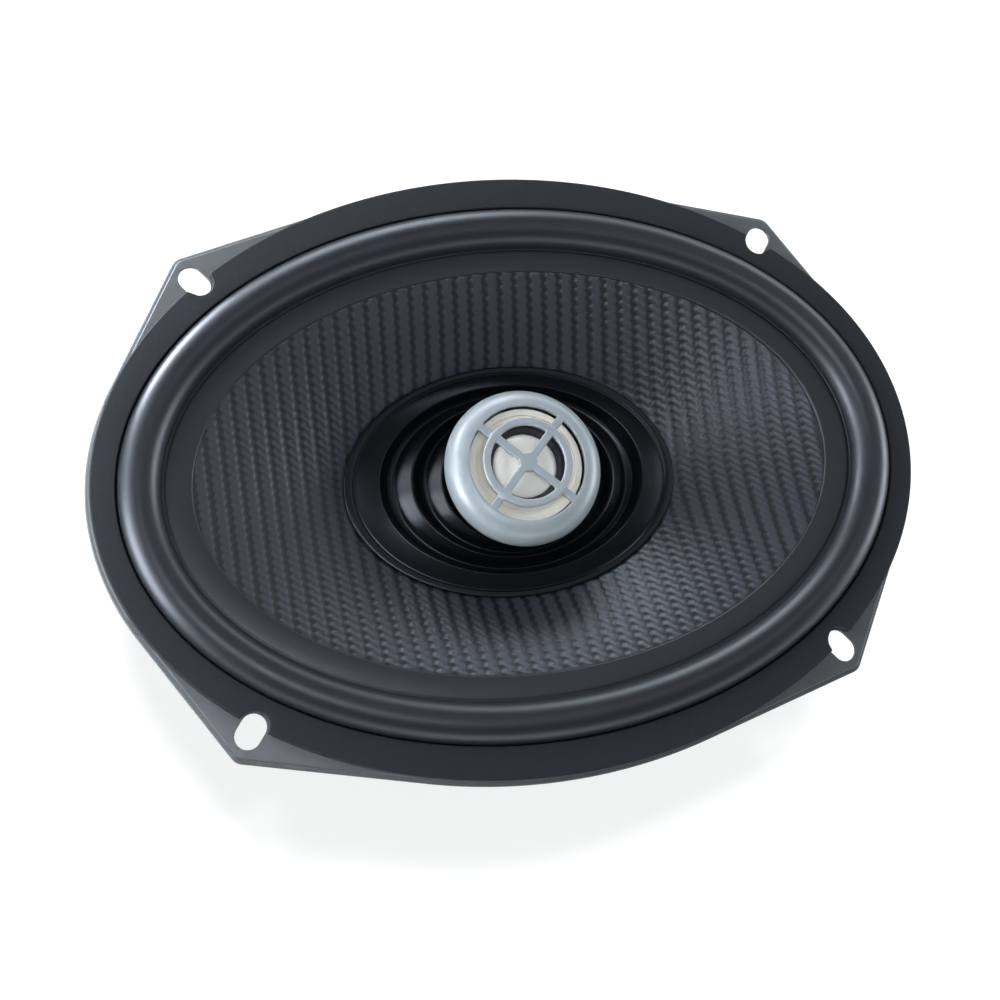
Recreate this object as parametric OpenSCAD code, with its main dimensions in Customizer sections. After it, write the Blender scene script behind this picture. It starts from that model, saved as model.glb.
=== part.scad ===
// Coaxial car speaker, 6 x 9 inch oval.
// +Z is the listening axis, X the long axis. The origin is the centre of the flange's seating plane.

/* [Frame] */
// Distance between the mounting slots along the long axis
hole_spacing_x = 165; // [160:0.5:168]
// Distance between the mounting slots along the short axis
hole_spacing_y = 122; // [119:0.5:124]
// Half length of the oval flange
flange_a = 117.2; // [116.6:0.1:118]
// Half width of the oval flange
flange_b = 85.8; // [85.2:0.1:86.4]
// Height of the pressed flange, from the seat to the face of the tabs
flange_h = 2.5; // [2.2:0.1:3]
// Thickness of the steel sheet
sheet_t = 1.1; // [0.9:0.05:1.2]
// Width of the lower lip round the flange
lip_w = 1.3; // [1:0.1:1.6]
// Corner radius of the tabs
tab_r = 4; // [3.5:0.25:5]
// Width of a mounting slot
slot_w = 6.8; // [6:0.1:7]
// End to end length of a mounting slot
slot_l = 9.7; // [8:0.1:10]
// Angle of the mounting slots from the long axis
slot_angle = 52; // [48:1:56]
// Half length of the bowl under the flange, inside the usual 222 x 152 cut-out
bowl_a = 109.1; // [108.5:0.1:110]
// Half width of the bowl under the flange
bowl_b = 75.4; // [75:0.1:75.8]

/* [Cone and suspension] */
// Half length of the middle of the surround's roll
roll_a = 103.4; // [103:0.1:103.8]
// Half width of the middle of the surround's roll
roll_b = 69.6; // [69.2:0.1:70]
// Radius of the roll's outer face
roll_r = 5.8; // [5:0.1:5.8]
// Thickness of the surround's rubber
rubber_t = 0.7; // [0.5:0.05:0.7]
// Thickness of the cone
cone_t = 0.8; // [0.6:0.05:0.9]
// Travel of the cone each way
cone_travel = 4; // [2:0.5:4]
// Number of corrugations in the spider
spider_waves = 4; // [3:1:5]

/* [Motor] */
// Outer radius of the ferrite ring
magnet_r = 45; // [44:0.5:46]
// Height of the ferrite ring
magnet_h = 18; // [16:0.5:18]
// Thickness of the top plate
top_plate_h = 7; // [6:0.5:7]
// Thickness of the back plate
back_plate_h = 6; // [5.5:0.5:6]
// Height of the voice coil winding
winding_h = 10; // [9:0.5:12]
// Wall of the rubber magnet cover
cover_t = 2.9; // [2.6:0.1:3.2]

/* [Tweeter] */
// Outer radius of the bezel
bezel_r = 22; // [21.5:0.1:22.5]
// Radius of the bezel's front opening
bezel_opening_r = 16.2; // [16.2:0.1:16.6]
// Radius of the dome
dome_r = 9; // [8.6:0.1:9]
// Travel of the dome each way
dome_travel = 0.4; // [0.1:0.1:0.4]
// Outer radius of the post
post_r = 4.5; // [4:0.25:5]

/* [Hidden] */
$fn = 96;
clear = 0.5;              // gap left between pieces at the end of their travel
fit = 0.1;                // gap of a close fit
cut = 1;                  // how far a cutter reaches past the face it opens
oval_sides = 72;          // sides of the lofted ovals
outline_steps = 240;      // points round the flange's outline

// Tab corners, placed so that each slot keeps the same margin of steel
tab_x = hole_spacing_x / 2 + 2.1;
tab_y = hole_spacing_y / 2 + 3.9;

// Levels of the frame, from the seat down
bowl_wall_z = -6;         // foot of the straight wall under the flange
landing_z = -35.6;        // face that the spider is glued to
floor_z = -44.9;          // upper face of the frame's floor
plate_top_z = floor_z - sheet_t;
magnet_top_z = plate_top_z - top_plate_h;
magnet_bottom_z = magnet_top_z - magnet_h;
yoke_bottom_z = magnet_bottom_z - back_plate_h;
cover_floor = 3;          // thickness of the cover's floor
base_z = yoke_bottom_z - cover_floor;

// Radii of the frame's round middle
landing_r = 48;
cup_r = 40.5;
floor_hole_r = 20;
rivet_circle_r = 30;
rivet_r = 2;
rivet_depth = 4;
rivet_head_r = 3.4;
rivet_crown_r = 2.6;
rivet_head_h = 1;

// Voice coil and gap
former_r = 16;
former_t = 0.3;
former_top_z = -22;
former_bottom_z = -54.6;
winding_t = 0.9;
gap_z = plate_top_z - top_plate_h / 2;
plate_r = magnet_r - 2;
magnet_hole_r = 24;
gap_r = former_r + winding_t + 0.55;
pole_r = former_r - former_t - 0.5;

// Surround: its flats lie on the flange and on the cone
foot_z = flange_h + rubber_t;
roll_z = foot_z + 0.5;
gasket_top_z = flange_h + 3.3;
gasket_in_a = roll_a + roll_r + fit;
gasket_in_b = roll_b + roll_r + fit;
gasket_slot_margin = 0.5;
flat_out_a = 112;
flat_out_b = 79.2;
weave_a = 89.8;
weave_b = 57;
weave_z = 3.1;

// Windows in the bowl
windows = 6;
window_top_z = -10;
window_bottom_z = -31;
window_half = 21.5;       // half the angle that a window spans
terminal_spoke_extra = 4; // angle by which the terminals' spoke is wider on each side
window_in_a = 44;
window_in_b = 41;
window_out_a = 160;
window_out_b = 112;
window_mid_b = 140;

// Terminal board, on the sloping spoke at -Y
board_y = -65.4;
board_z = -16.9;
board_tilt = 47.05;
board_w = 28;
board_l = 20;
board_t = 1.6;
terminal_row = -5.2;
capacitor_row = 4.6;
capacitor_r = 4;
terminal_x = 7;
terminal_rivet_r = 1.1;
terminal_rivet_head_r = 1.9;
terminal_rivet_head_h = 0.5;
tab_t = 0.8;
tab_foot_l = 7;
tab_blade_h = 9.5;
capacitor_l = 16;
pad_t = 1.5;
opening_w = 22;
opening_l = 8;

// Centre cap: lip, and the levels of its ridges and grooves
cap_a = 48.4;
cap_b = 33.7;
cap_z = -12;
cap_t = 0.7;
ridge_z = -9.4;
groove_z = -13.4;
cap_lip_z = cap_z + cap_t + 0.05;
cap_foot_r = 16.8;

// Half length, half width and height of the cap's line, from inside the lip to the top of the wall
cap_line = [
    [45.5, 31.7, cap_lip_z - 0.1],
    [38.9, 27.6, ridge_z],
    [34.1, 25.2, groove_z],
    [29.3, 22.7, ridge_z],
    [24.8, 20.5, groove_z],
    [20.6, 18.7, ridge_z - 0.4],
    [18, 17.6, -13]
];

// Neck of the cone
neck_z = -27;
neck_r = former_r + former_t;

// Eyelets on the cone, under the cap
eyelet_x = 9;
eyelet_y = -25;
eyelet_z = -18.3;
eyelet_r = 1.2;
eyelet_l = 5.5;
eyelet_head_r = 2;
eyelet_head_h = 0.6;
eyelet_foot_z = eyelet_z - 3.1;

// Spider
spider_t = 0.5;
spider_out_r = 46;
spider_wave_h = 1.5;
collar_h = 2.5;
collar_t = 0.6;

// Tweeter levels
bezel_mid_z = 1.7;
bezel_rise = 6.2;
bezel_t = 1.5;
housing_z = ridge_z + cone_travel + clear;
boss_z = -9;
pot_floor_z = -3.2;
pot_top_z = 2.4;
dome_z = 3.9;
dome_h = 2.4;
guard_z = dome_z + dome_h + dome_travel + clear;
guard_h = 1.5;
guard_w = 2.2;
guard_ring_r = 12.6;
guard_hub_r = 2.6;
post_shoulder_z = -43.5;
post_shoulder_r = 8;
post_bore_r = 2.2;
pole_top_z = -45.5;
nut_h = 2.8;
nut_r = 7.5;
nut_recess_r = 8.5;
lead_r = 0.6;
channel_w = 2;
channel_h = 1.6;

// Tweeter radii and thicknesses
housing_r = 18;
pot_r = 11.6;
pot_in_r = 9.8;
pot_t = 1.6;
tweeter_magnet_r = 7.8;
tweeter_magnet_h = 2.4;
pole_washer_r = 8.3;

// One ring of an oval loft
function oval(a, b, z) =
    [for (i = [0 : oval_sides - 1]) [a * cos(360 * i / oval_sides), b * sin(360 * i / oval_sides), z]];

// Closed oval ring: profile is a closed loop of [half length, half width, height]
module oval_loft(profile) {
    count = len(profile);
    points = [for (p = profile) each oval(p[0], p[1], p[2])];
    faces = [
        for (k = [0 : count - 1], i = [0 : oval_sides - 1])
            let (
                j = (i + 1) % oval_sides,
                m = (k + 1) % count,
                p = k * oval_sides + i,
                q = k * oval_sides + j,
                r = m * oval_sides + j,
                s = m * oval_sides + i
            )
            each [[p, q, r], [p, r, s]]
    ];
    polyhedron(points, faces);
}

// Closed loop for oval_loft: a top line that runs inwards, and its copy a thickness t below
function under(top, t) = [
    for (k = [len(top) - 1 : -1 : 0])
        let (
            d = top[min(k + 1, len(top) - 1)] - top[max(k - 1, 0)],
            run = (d[0] + d[1]) / 2,
            side = t / norm([run, d[2]])
        )
        [top[k][0] - d[2] * side, top[k][1] - d[2] * side, top[k][2] + run * side]
];
function skin(top, t) = concat(top, under(top, t));

// Flange outline, drawn in by d: an oval and four round tab corners, joined by straight edges
function outline(d) = [
    for (k = [0 : outline_steps - 1])
        let (
            n = [cos(360 * k / outline_steps), sin(360 * k / outline_steps)],
            a = flange_a - d,
            b = flange_b - d,
            reach = norm([a * n[0], b * n[1]]),
            corner = [sign(n[0]) * tab_x, sign(n[1]) * tab_y]
        )
        corner * n + tab_r - d > reach ? corner + (tab_r - d) * n : [a * a * n[0], b * b * n[1]] / reach
];

function flat_oval(a, b) = [for (p = oval(a, b, 0)) [p[0], p[1]]];

module slot(w, l) {
    reach = (l - w) / 2;
    for (side = [-1, 1]) {
        translate([side * reach, 0])
            circle(d = w);
    }
    square([2 * reach, w], center = true);
}

// The four mounting slots as a flat shape, grown by margin
module mounting_slots(margin) {
    for (sx = [-1, 1], sy = [-1, 1]) {
        translate([sx * hole_spacing_x / 2, sy * hole_spacing_y / 2])
            rotate(sx * sy * slot_angle)
                slot(slot_w + 2 * margin, slot_l + 2 * margin);
    }
}

module flange() {
    difference() {
        union() {
            linear_extrude(flange_h)
                polygon(outline(lip_w));
            linear_extrude(sheet_t)
                polygon(outline(0));
        }
        translate([0, 0, -cut])
            linear_extrude(flange_h - sheet_t + cut)
                polygon(outline(lip_w + sheet_t));
        translate([0, 0, -cut])
            linear_extrude(flange_h + 2 * cut)
                polygon(flat_oval(bowl_a - sheet_t, bowl_b - sheet_t));
        translate([0, 0, -cut])
            linear_extrude(flange_h + 2 * cut)
                mounting_slots(0);
    }
}

// Side wall of the frame, from the flange down to the spider's landing
module bowl() {
    outer = [
        [bowl_a, bowl_b, flange_h - sheet_t / 2],
        [bowl_a - 0.5, bowl_b - 0.5, bowl_wall_z],
        [105, 72, -9.5],
        [80, 58.5, -24],
        [58, 50.5, -34.2],
        [46.5, 46.5, landing_z - sheet_t + 0.1]
    ];
    inner = [
        [46.5, 46.5, landing_z - 0.1],
        [57.4, 49.9, -33.1],
        [79.3, 57.7, -22.8],
        [104, 71, -8.6],
        [bowl_a - 0.5 - sheet_t, bowl_b - 0.5 - sheet_t, bowl_wall_z + 0.6],
        [bowl_a - sheet_t, bowl_b - sheet_t, flange_h - sheet_t / 2]
    ];
    oval_loft(concat(inner, outer));
}

module window_cutters() {
    span = window_top_z - window_bottom_z;
    for (i = [0 : windows - 1]) {
        mid = i * 360 / windows;
        low = mid - window_half + (mid == 300 ? terminal_spoke_extra : 0);
        high = mid + window_half - (mid == 240 ? terminal_spoke_extra : 0);
        translate([0, 0, window_bottom_z])
            linear_extrude(span)
                polygon([
                    [window_in_a * cos(low), window_in_b * sin(low)],
                    [window_out_a * cos(low), window_out_b * sin(low)],
                    [window_out_a * cos(mid), window_mid_b * sin(mid)],
                    [window_out_a * cos(high), window_out_b * sin(high)],
                    [window_in_a * cos(high), window_in_b * sin(high)]
                ]);
    }
}

// Places children on the terminal board's outer face, X across and Y up the slope
module on_board() {
    translate([0, board_y, board_z])
        rotate([180 - board_tilt, 0, 0])
            children();
}

// Flat pad under the terminal board, and the opening behind its rivets
module terminal_pad() {
    on_board()
        translate([-board_w / 2, -board_l / 2, -pad_t - fit])
            cube([board_w, board_l, pad_t]);
}

module terminal_opening() {
    on_board()
        translate([-opening_w / 2, -cut - opening_l, -6])
            cube([opening_w, opening_l, 7]);
}

module basket() {
    color("#41453f")
        difference() {
            union() {
                flange();
                bowl();
                terminal_pad();
                rotate_extrude()
                    polygon([
                        [floor_hole_r, floor_z], [cup_r - sheet_t, floor_z], [cup_r - sheet_t, landing_z],
                        [landing_r, landing_z], [landing_r, landing_z - sheet_t],
                        [cup_r, landing_z - sheet_t], [cup_r, plate_top_z], [floor_hole_r, plate_top_z]
                    ]);
            }
            window_cutters();
            terminal_opening();
            plate_rivet_shanks();
        }
}

module gasket() {
    color("#2b2b2d")
        difference() {
            translate([0, 0, flange_h])
                linear_extrude(gasket_top_z - flange_h)
                    polygon(flat_oval(flange_a - lip_w, flange_b - lip_w));
            translate([0, 0, foot_z])
                linear_extrude(gasket_top_z)
                    polygon(flat_oval(gasket_in_a, gasket_in_b));
            translate([0, 0, flange_h - cut])
                linear_extrude(cut + rubber_t)
                    polygon(flat_oval(flat_out_a + fit, flat_out_b + fit));
            translate([0, 0, flange_h - cut])
                linear_extrude(gasket_top_z)
                    mounting_slots(gasket_slot_margin);
        }
}

module surround() {
    steps = 12;
    arc = [
        for (k = [0 : steps])
            let (t = 180 * k / steps)
            [roll_a + roll_r * cos(t), roll_b + roll_r * cos(t), roll_z + roll_r * sin(t)]
    ];
    under_r = roll_r - rubber_t;
    under_arc = [
        for (k = [steps : -1 : 0])
            let (t = 180 * k / steps)
            [roll_a + under_r * cos(t), roll_b + under_r * cos(t), roll_z + under_r * sin(t)]
    ];
    top = concat([[flat_out_a, flat_out_b, foot_z], [roll_a + roll_r, roll_b + roll_r, foot_z]], arc);
    under = concat(
        under_arc,
        [[roll_a + under_r, roll_b + under_r, flange_h], [flat_out_a, flat_out_b, flange_h]]
    );
    color("#3a414b")
        oval_loft(concat(
            top,
            [[weave_a, weave_b, weave_z + rubber_t], [weave_a, weave_b, weave_z]],
            [[roll_a - roll_r + 0.2, roll_b - roll_r + 0.2, roll_z - rubber_t]],
            under
        ));
}

// Upper face of the cone from the weave's edge to the neck; t runs from 0 to 1
function dish(t) = [
    weave_a + (cap_a - weave_a) * t,
    weave_b + (cap_b - weave_b) * t,
    weave_z + (cap_z - weave_z) * (0.8 * t + 0.2 * t * t)
];
function throat(t) = [
    cap_a + (neck_r - cap_a) * t,
    cap_b + (neck_r - cap_b) * t,
    cap_z + (neck_z - cap_z) * (0.75 * t + 0.25 * t * t)
];

module cone() {
    top = concat(
        [[roll_a - roll_r, roll_b - roll_r, roll_z - rubber_t]],
        [for (k = [0 : 6]) dish(k / 6)],
        [for (k = [1 : 5]) throat(k / 5)]
    );
    color("#2f353d")
        difference() {
            oval_loft(skin(top, cone_t));
            eyelet_shanks(eyelet_r + 0.05);
        }
}

// Eased curve between two points of the cap's line, in three steps
function wave(p, q) = [
    for (k = [1 : 3])
        let (t = k / 3, s = (1 - cos(180 * t)) / 2)
        [p[0] + (q[0] - p[0]) * t, p[1] + (q[1] - p[1]) * t, p[2] + (q[2] - p[2]) * s]
];

// Lip, three ridges with grooves between them, and the wall down to the former
module centre_cap() {
    top = concat(
        [[cap_a, cap_b, cap_lip_z], cap_line[0]],
        [for (k = [0 : len(cap_line) - 2]) each wave(cap_line[k], cap_line[k + 1])],
        [[cap_foot_r, cap_foot_r, former_top_z + 1]]
    );
    color("#15171c")
        oval_loft(skin(top, cap_t));
}

module ring(r_out, r_in, z0, z1) {
    rotate_extrude()
        polygon([[r_in, z0], [r_out, z0], [r_out, z1], [r_in, z1]]);
}

module voice_coil_former() {
    color("#b8a06a")
        ring(former_r, former_r - former_t, former_bottom_z, former_top_z);
}

module voice_coil() {
    color("#b06a3a")
        ring(former_r + winding_t, former_r, gap_z - winding_h / 2, gap_z + winding_h / 2);
}

// Corrugated disc from the former to the landing
module spider() {
    start = former_r + 2;
    end = cup_r - sheet_t - 1;
    steps = spider_waves * 8;
    line = [
        for (k = [0 : steps])
            let (t = k / steps)
            [start + (end - start) * t, landing_z + spider_wave_h * sin(360 * spider_waves * t)]
    ];
    top = [for (p = line) [p[0], p[1] + spider_t]];
    under = [for (k = [steps : -1 : 0]) line[k]];
    color("#c9a85c")
        rotate_extrude()
            polygon(concat(
                [[former_r, landing_z], [former_r, landing_z + collar_h]],
                [[former_r + collar_t, landing_z + collar_h], [former_r + collar_t, landing_z + spider_t]],
                top,
                [[spider_out_r, landing_z + spider_t], [spider_out_r, landing_z]],
                under
            ));
}

// Tube of radius r along a list of points
function unit(v) = v / norm(v);
module tube(points, r, sides) {
    last = len(points) - 1;
    tangents = [for (k = [0 : last]) unit(points[min(k + 1, last)] - points[max(k - 1, 0)])];
    rings = [
        for (k = [0 : last])
            let (
                u = unit(cross(tangents[k], [1, 0, 0])),
                v = cross(tangents[k], u)
            )
            each [
                for (i = [0 : sides - 1])
                    let (turn = 360 * i / sides)
                    points[k] + r * (cos(turn) * u + sin(turn) * v)
            ]
    ];
    walls = [
        for (k = [0 : last - 1], i = [0 : sides - 1])
            let (j = (i + 1) % sides, p = k * sides)
            each [[p + i, p + j, p + sides + j], [p + i, p + sides + j, p + sides + i]]
    ];
    caps = [
        [for (i = [sides - 1 : -1 : 0]) i],
        [for (i = [0 : sides - 1]) last * sides + i]
    ];
    polyhedron(rings, concat(walls, caps));
}

// Points of a smooth curve through a list of guide points
function smooth(g, n) = [
    for (k = [0 : len(g) - 2], i = [0 : n - 1])
        let (
            t = i / n,
            a = g[max(k - 1, 0)],
            b = g[k],
            c = g[k + 1],
            d = g[min(k + 2, len(g) - 1)]
        )
        (2 * b + (c - a) * t + (2 * a - 5 * b + 4 * c - d) * t * t + (3 * b - a - 3 * c + d) * t * t * t) / 2,
    g[len(g) - 1]
];

module eyelet_shanks(r) {
    for (side = [-1, 1]) {
        translate([side * eyelet_x, eyelet_y, eyelet_foot_z - cut])
            cylinder(r = r, h = eyelet_l + 4 * cut, $fn = 24);
    }
}

module lead_eyelets() {
    color("#b08d3c")
        for (side = [-1, 1]) {
            translate([side * eyelet_x, eyelet_y, eyelet_foot_z]) {
                cylinder(r = eyelet_r, h = eyelet_l, $fn = 24);
                cylinder(r = eyelet_head_r, h = eyelet_head_h, $fn = 24);
            }
        }
}

// Route of one tinsel lead, from its eyelet to the terminal board
tinsel_r = 0.5;
tinsel_guide = [
    [9, -25, -21.5],
    [9, -26, -24],
    [9, -30, -26.5],
    [9, -37, -27],
    [9, -43, -22.5],
    [8.6, -49, -17.5],
    [8, -55, -16],
    [7.2, -59.5, -18.2],
    [7, -61.3, -20.1]
];
module tinsel_leads() {
    color("#c7b48a")
        for (side = [-1, 1]) {
            tube([for (p = smooth(tinsel_guide, 4)) [side * p[0], p[1], p[2]]], tinsel_r, 8);
        }
}

module plate_rivet_shanks() {
    for (k = [0 : 3]) {
        rotate(45 + 90 * k)
            translate([rivet_circle_r, 0, plate_top_z - rivet_depth])
                cylinder(r = rivet_r, h = rivet_depth + sheet_t + cut, $fn = 32);
    }
}

module top_plate() {
    color("#9a9da0")
        difference() {
            ring(plate_r, gap_r, magnet_top_z, plate_top_z);
            plate_rivet_shanks();
        }
}

module magnet() {
    color("#3c3c3e")
        ring(magnet_r, magnet_hole_r, magnet_bottom_z, magnet_top_z);
}

module yoke() {
    color("#8f9296")
        difference() {
            rotate_extrude()
                polygon([
                    [0, yoke_bottom_z], [plate_r, yoke_bottom_z], [plate_r, magnet_bottom_z],
                    [pole_r, magnet_bottom_z], [pole_r, pole_top_z], [0, pole_top_z]
                ]);
            translate([0, 0, yoke_bottom_z - cut])
                cylinder(r = post_r, h = pole_top_z - yoke_bottom_z + 2 * cut);
            translate([0, 0, yoke_bottom_z - cut])
                cylinder(r = nut_recess_r, h = cut + nut_h + clear);
        }
}

// Rubber boot over the magnet, with a channel for the tweeter's lead
module magnet_cover() {
    channel_y = -magnet_r - 1.8;
    color("#1d1d1f")
        difference() {
            union() {
                ring(magnet_r + cover_t, magnet_r, yoke_bottom_z, magnet_top_z - 3);
                translate([0, 0, base_z])
                    cylinder(r = magnet_r + cover_t, h = cover_floor);
            }
            translate([0, 0, yoke_bottom_z - channel_h])
                cylinder(r = 1.5 * channel_w, h = channel_h + cut);
            translate([-channel_w / 2, channel_y, yoke_bottom_z - channel_h])
                cube([channel_w, -channel_y, channel_h + cut]);
            translate([-channel_w / 2, channel_y, yoke_bottom_z - channel_h])
                cube([channel_w, 3, 40]);
        }
}

module plate_rivets() {
    color("#a7aaad")
        for (k = [0 : 3]) {
            rotate(45 + 90 * k)
                translate([rivet_circle_r, 0, plate_top_z - rivet_depth]) {
                    cylinder(r = rivet_r, h = rivet_depth + sheet_t, $fn = 32);
                    translate([0, 0, rivet_depth + sheet_t])
                        cylinder(r1 = rivet_head_r, r2 = rivet_crown_r, h = rivet_head_h, $fn = 32);
                }
        }
}

module terminal_board() {
    color("#3a2c20")
        on_board()
            difference() {
                translate([-board_w / 2, -board_l / 2, 0])
                    cube([board_w, board_l, board_t]);
                for (x = [-1, 1]) {
                    translate([x * terminal_x, terminal_row, -cut])
                        cylinder(r = terminal_rivet_r, h = board_t + 2 * cut, $fn = 24);
                }
            }
}

// Tab terminal: a foot on the board and a blade that stands off it
module tab_terminal(x, w) {
    on_board()
        translate([x, terminal_row, board_t])
            difference() {
                union() {
                    translate([-w / 2, -tab_foot_l / 2, 0])
                        cube([w, tab_foot_l, tab_t]);
                    translate([-w / 2, -tab_foot_l / 2, 0])
                        cube([w, tab_t, tab_blade_h]);
                }
                cylinder(r = terminal_rivet_r, h = 3 * tab_t, center = true, $fn = 24);
            }
}

module positive_terminal() {
    color("#b8963f")
        tab_terminal(-terminal_x, 4.8);
}

module negative_terminal() {
    color("#b8963f")
        tab_terminal(terminal_x, 2.8);
}

module terminal_rivets() {
    color("#b8b8ba")
        on_board()
            for (x = [-1, 1]) {
                translate([x * terminal_x, terminal_row, 0]) {
                    cylinder(r = terminal_rivet_r, h = board_t + tab_t, $fn = 24);
                    translate([0, 0, board_t + tab_t])
                        cylinder(r = terminal_rivet_head_r, h = terminal_rivet_head_h, $fn = 24);
                }
            }
}

module capacitor() {
    color("#2a3c66")
        on_board()
            translate([-capacitor_l / 2, capacitor_row, board_t + capacitor_r])
                rotate([0, 90, 0])
                    cylinder(r = capacitor_r, h = capacitor_l);
}

module tweeter_post() {
    color("#6d7278")
        difference() {
            union() {
                translate([0, 0, yoke_bottom_z + 0.4])
                    cylinder(r = post_r, h = boss_z + 2 - yoke_bottom_z - 0.4);
                ring(post_shoulder_r, post_r - 1, pole_top_z, post_shoulder_z);
            }
            translate([0, 0, yoke_bottom_z - cut])
                cylinder(r = post_bore_r, h = 80);
        }
}

module post_nut() {
    color("#b9bcc0")
        difference() {
            translate([0, 0, yoke_bottom_z + 0.5])
                cylinder(r = nut_r, h = nut_h - fit, $fn = 6);
            translate([0, 0, yoke_bottom_z - cut])
                cylinder(r = post_r, h = nut_h + 3 * cut);
        }
}

// Route of the tweeter's lead: down the post, along the boot's channel and up to the terminal board
lead_guide = [
    [0, 0, pot_floor_z - 3],
    [0, 0, -40],
    [0, 0, yoke_bottom_z + 2],
    [0, -0.6, yoke_bottom_z - 0.3],
    [0, -3, yoke_bottom_z - 0.8],
    [0, -24, yoke_bottom_z - 0.8],
    [0, -43.5, yoke_bottom_z - 0.8],
    [0, -45.6, yoke_bottom_z],
    [0, -46, yoke_bottom_z + 3],
    [0, -46, -62],
    [0, -46.6, -54],
    [0, -51, -44],
    [0, -56, -36],
    [0, -60.5, -28.5],
    [0, -62, -24.1]
];
module tweeter_lead() {
    color("#202024")
        tube(smooth(lead_guide, 3), lead_r, 8);
}

module tweeter_housing() {
    color("#8a9299")
        difference() {
            rotate_extrude()
                polygon([
                    [0, boss_z], [7, boss_z], [8, housing_z - 1], [housing_r - 1, housing_z],
                    [housing_r, housing_z + 1], [housing_r, pot_floor_z], [pot_r + 1.3, pot_floor_z],
                    [pot_r + 1.3, pot_top_z], [pot_r, pot_top_z], [pot_r, pot_floor_z], [0, pot_floor_z]
                ]);
            translate([0, 0, boss_z - cut])
                cylinder(r = post_r, h = 2 + cut);
            translate([0, 0, boss_z - cut])
                cylinder(r = post_bore_r, h = pot_floor_z - boss_z + 2 * cut);
        }
}

module tweeter_pot() {
    color("#9a9da0")
        rotate_extrude()
            polygon([
                [0, pot_floor_z], [pot_r, pot_floor_z], [pot_r, pot_top_z], [pot_in_r, pot_top_z],
                [pot_in_r, pot_floor_z + pot_t], [0, pot_floor_z + pot_t]
            ]);
}

module tweeter_magnet() {
    color("#c9ccd0")
        translate([0, 0, pot_floor_z + pot_t])
            cylinder(r = tweeter_magnet_r, h = tweeter_magnet_h);
}

module tweeter_pole_washer() {
    color("#8f9296")
        translate([0, 0, pot_floor_z + pot_t + tweeter_magnet_h])
            cylinder(r = pole_washer_r, h = pot_t);
}

module tweeter_coil() {
    color("#b06a3a") {
        ring(dome_r, dome_r - 0.2, 0.9, dome_z - 0.1);
        ring(dome_r + 0.3, dome_r, 0.9, 2.3);
    }
}

// Dome: a shell between two spheres
dome_sphere_r = (dome_r * dome_r + dome_h * dome_h) / (2 * dome_h);
module tweeter_dome() {
    color("#efece6")
        intersection() {
            difference() {
                translate([0, 0, dome_z + dome_h - dome_sphere_r])
                    sphere(r = dome_sphere_r);
                translate([0, 0, dome_z + dome_h - dome_sphere_r])
                    sphere(r = dome_sphere_r - 0.3);
            }
            translate([0, 0, dome_z])
                cylinder(r = dome_r + 1, h = dome_h + 1);
        }
}

module tweeter_suspension() {
    steps = 8;
    mid = dome_r + 1.2;
    out_r = 1.1;
    in_r = 0.85;
    out = [
        for (k = [0 : steps])
            [mid - out_r * cos(180 * k / steps), dome_z + out_r * sin(180 * k / steps)]
    ];
    in = [
        for (k = [steps : -1 : 0])
            [mid - in_r * cos(180 * k / steps), dome_z + in_r * sin(180 * k / steps)]
    ];
    color("#1f2022")
        rotate_extrude()
            polygon(concat(
                [[dome_r - 0.2, dome_z - 0.1]], [[dome_r - 0.2, dome_z - 0.02]], out,
                [[dome_r + 2.5, dome_z], [dome_r + 2.5, dome_z - 0.25]], [[mid + in_r, dome_z - 0.25]],
                in, [[mid - in_r, dome_z - 0.1]]
            ));
}

module tweeter_faceplate() {
    color("#e4e0d8")
        rotate_extrude()
            polygon([
                [10.2, pot_top_z], [15.9, pot_top_z], [15.9, 5.5], [14.2, 5.2], [14.2, 4.5], [12.9, 4.5],
                [12.9, 4.9], [pot_r, 4.5], [pot_r, dome_z - 0.25], [10.2, dome_z - 0.25]
            ]);
}

// Bezel ring with its guard: a ring and four diagonal bars round a small hub
module tweeter_bezel() {
    steps = 16;
    low = -63;
    out = [
        for (k = [0 : steps])
            let (t = low + (90 - low) * k / steps)
            [bezel_opening_r + (bezel_r - bezel_opening_r) * cos(t), bezel_mid_z + bezel_rise * sin(t)]
    ];
    in = [
        for (k = [steps : -1 : 0])
            let (t = low + (90 - low) * k / steps)
            [
                bezel_opening_r + (bezel_r - bezel_opening_r - bezel_t) * cos(t),
                bezel_mid_z + (bezel_rise - bezel_t) * sin(t)
            ]
    ];
    color("#b3c0c9") {
        rotate_extrude()
            polygon(concat(out, in));
        ring(guard_ring_r, guard_ring_r - guard_w, guard_z, guard_z + guard_h);
        translate([0, 0, guard_z])
            cylinder(r = guard_hub_r, h = guard_h);
        for (k = [0 : 3]) {
            rotate(45 + 90 * k)
                translate([2, -guard_w / 2, guard_z])
                    cube([10, guard_w, guard_h]);
        }
        for (k = [0 : 3]) {
            rotate(45 + 90 * k)
                translate([12, -guard_w / 2, guard_z - 0.6])
                    cube([4.9, guard_w, guard_h - 0.4]);
        }
    }
}

basket();
gasket();
surround();
cone();
centre_cap();
voice_coil_former();
voice_coil();
spider();
tinsel_leads();
lead_eyelets();
top_plate();
magnet();
yoke();
magnet_cover();
plate_rivets();
terminal_board();
positive_terminal();
negative_terminal();
terminal_rivets();
capacitor();
tweeter_post();
post_nut();
tweeter_lead();
tweeter_housing();
tweeter_pot();
tweeter_magnet();
tweeter_pole_washer();
tweeter_coil();
tweeter_dome();
tweeter_suspension();
tweeter_faceplate();
tweeter_bezel();
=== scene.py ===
"""Looks of the coaxial car speaker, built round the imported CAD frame."""

import math

import bmesh
import bpy
import numpy as np
from mathutils import Matrix, Vector
from mathutils.geometry import delaunay_2d_cdt


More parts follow.
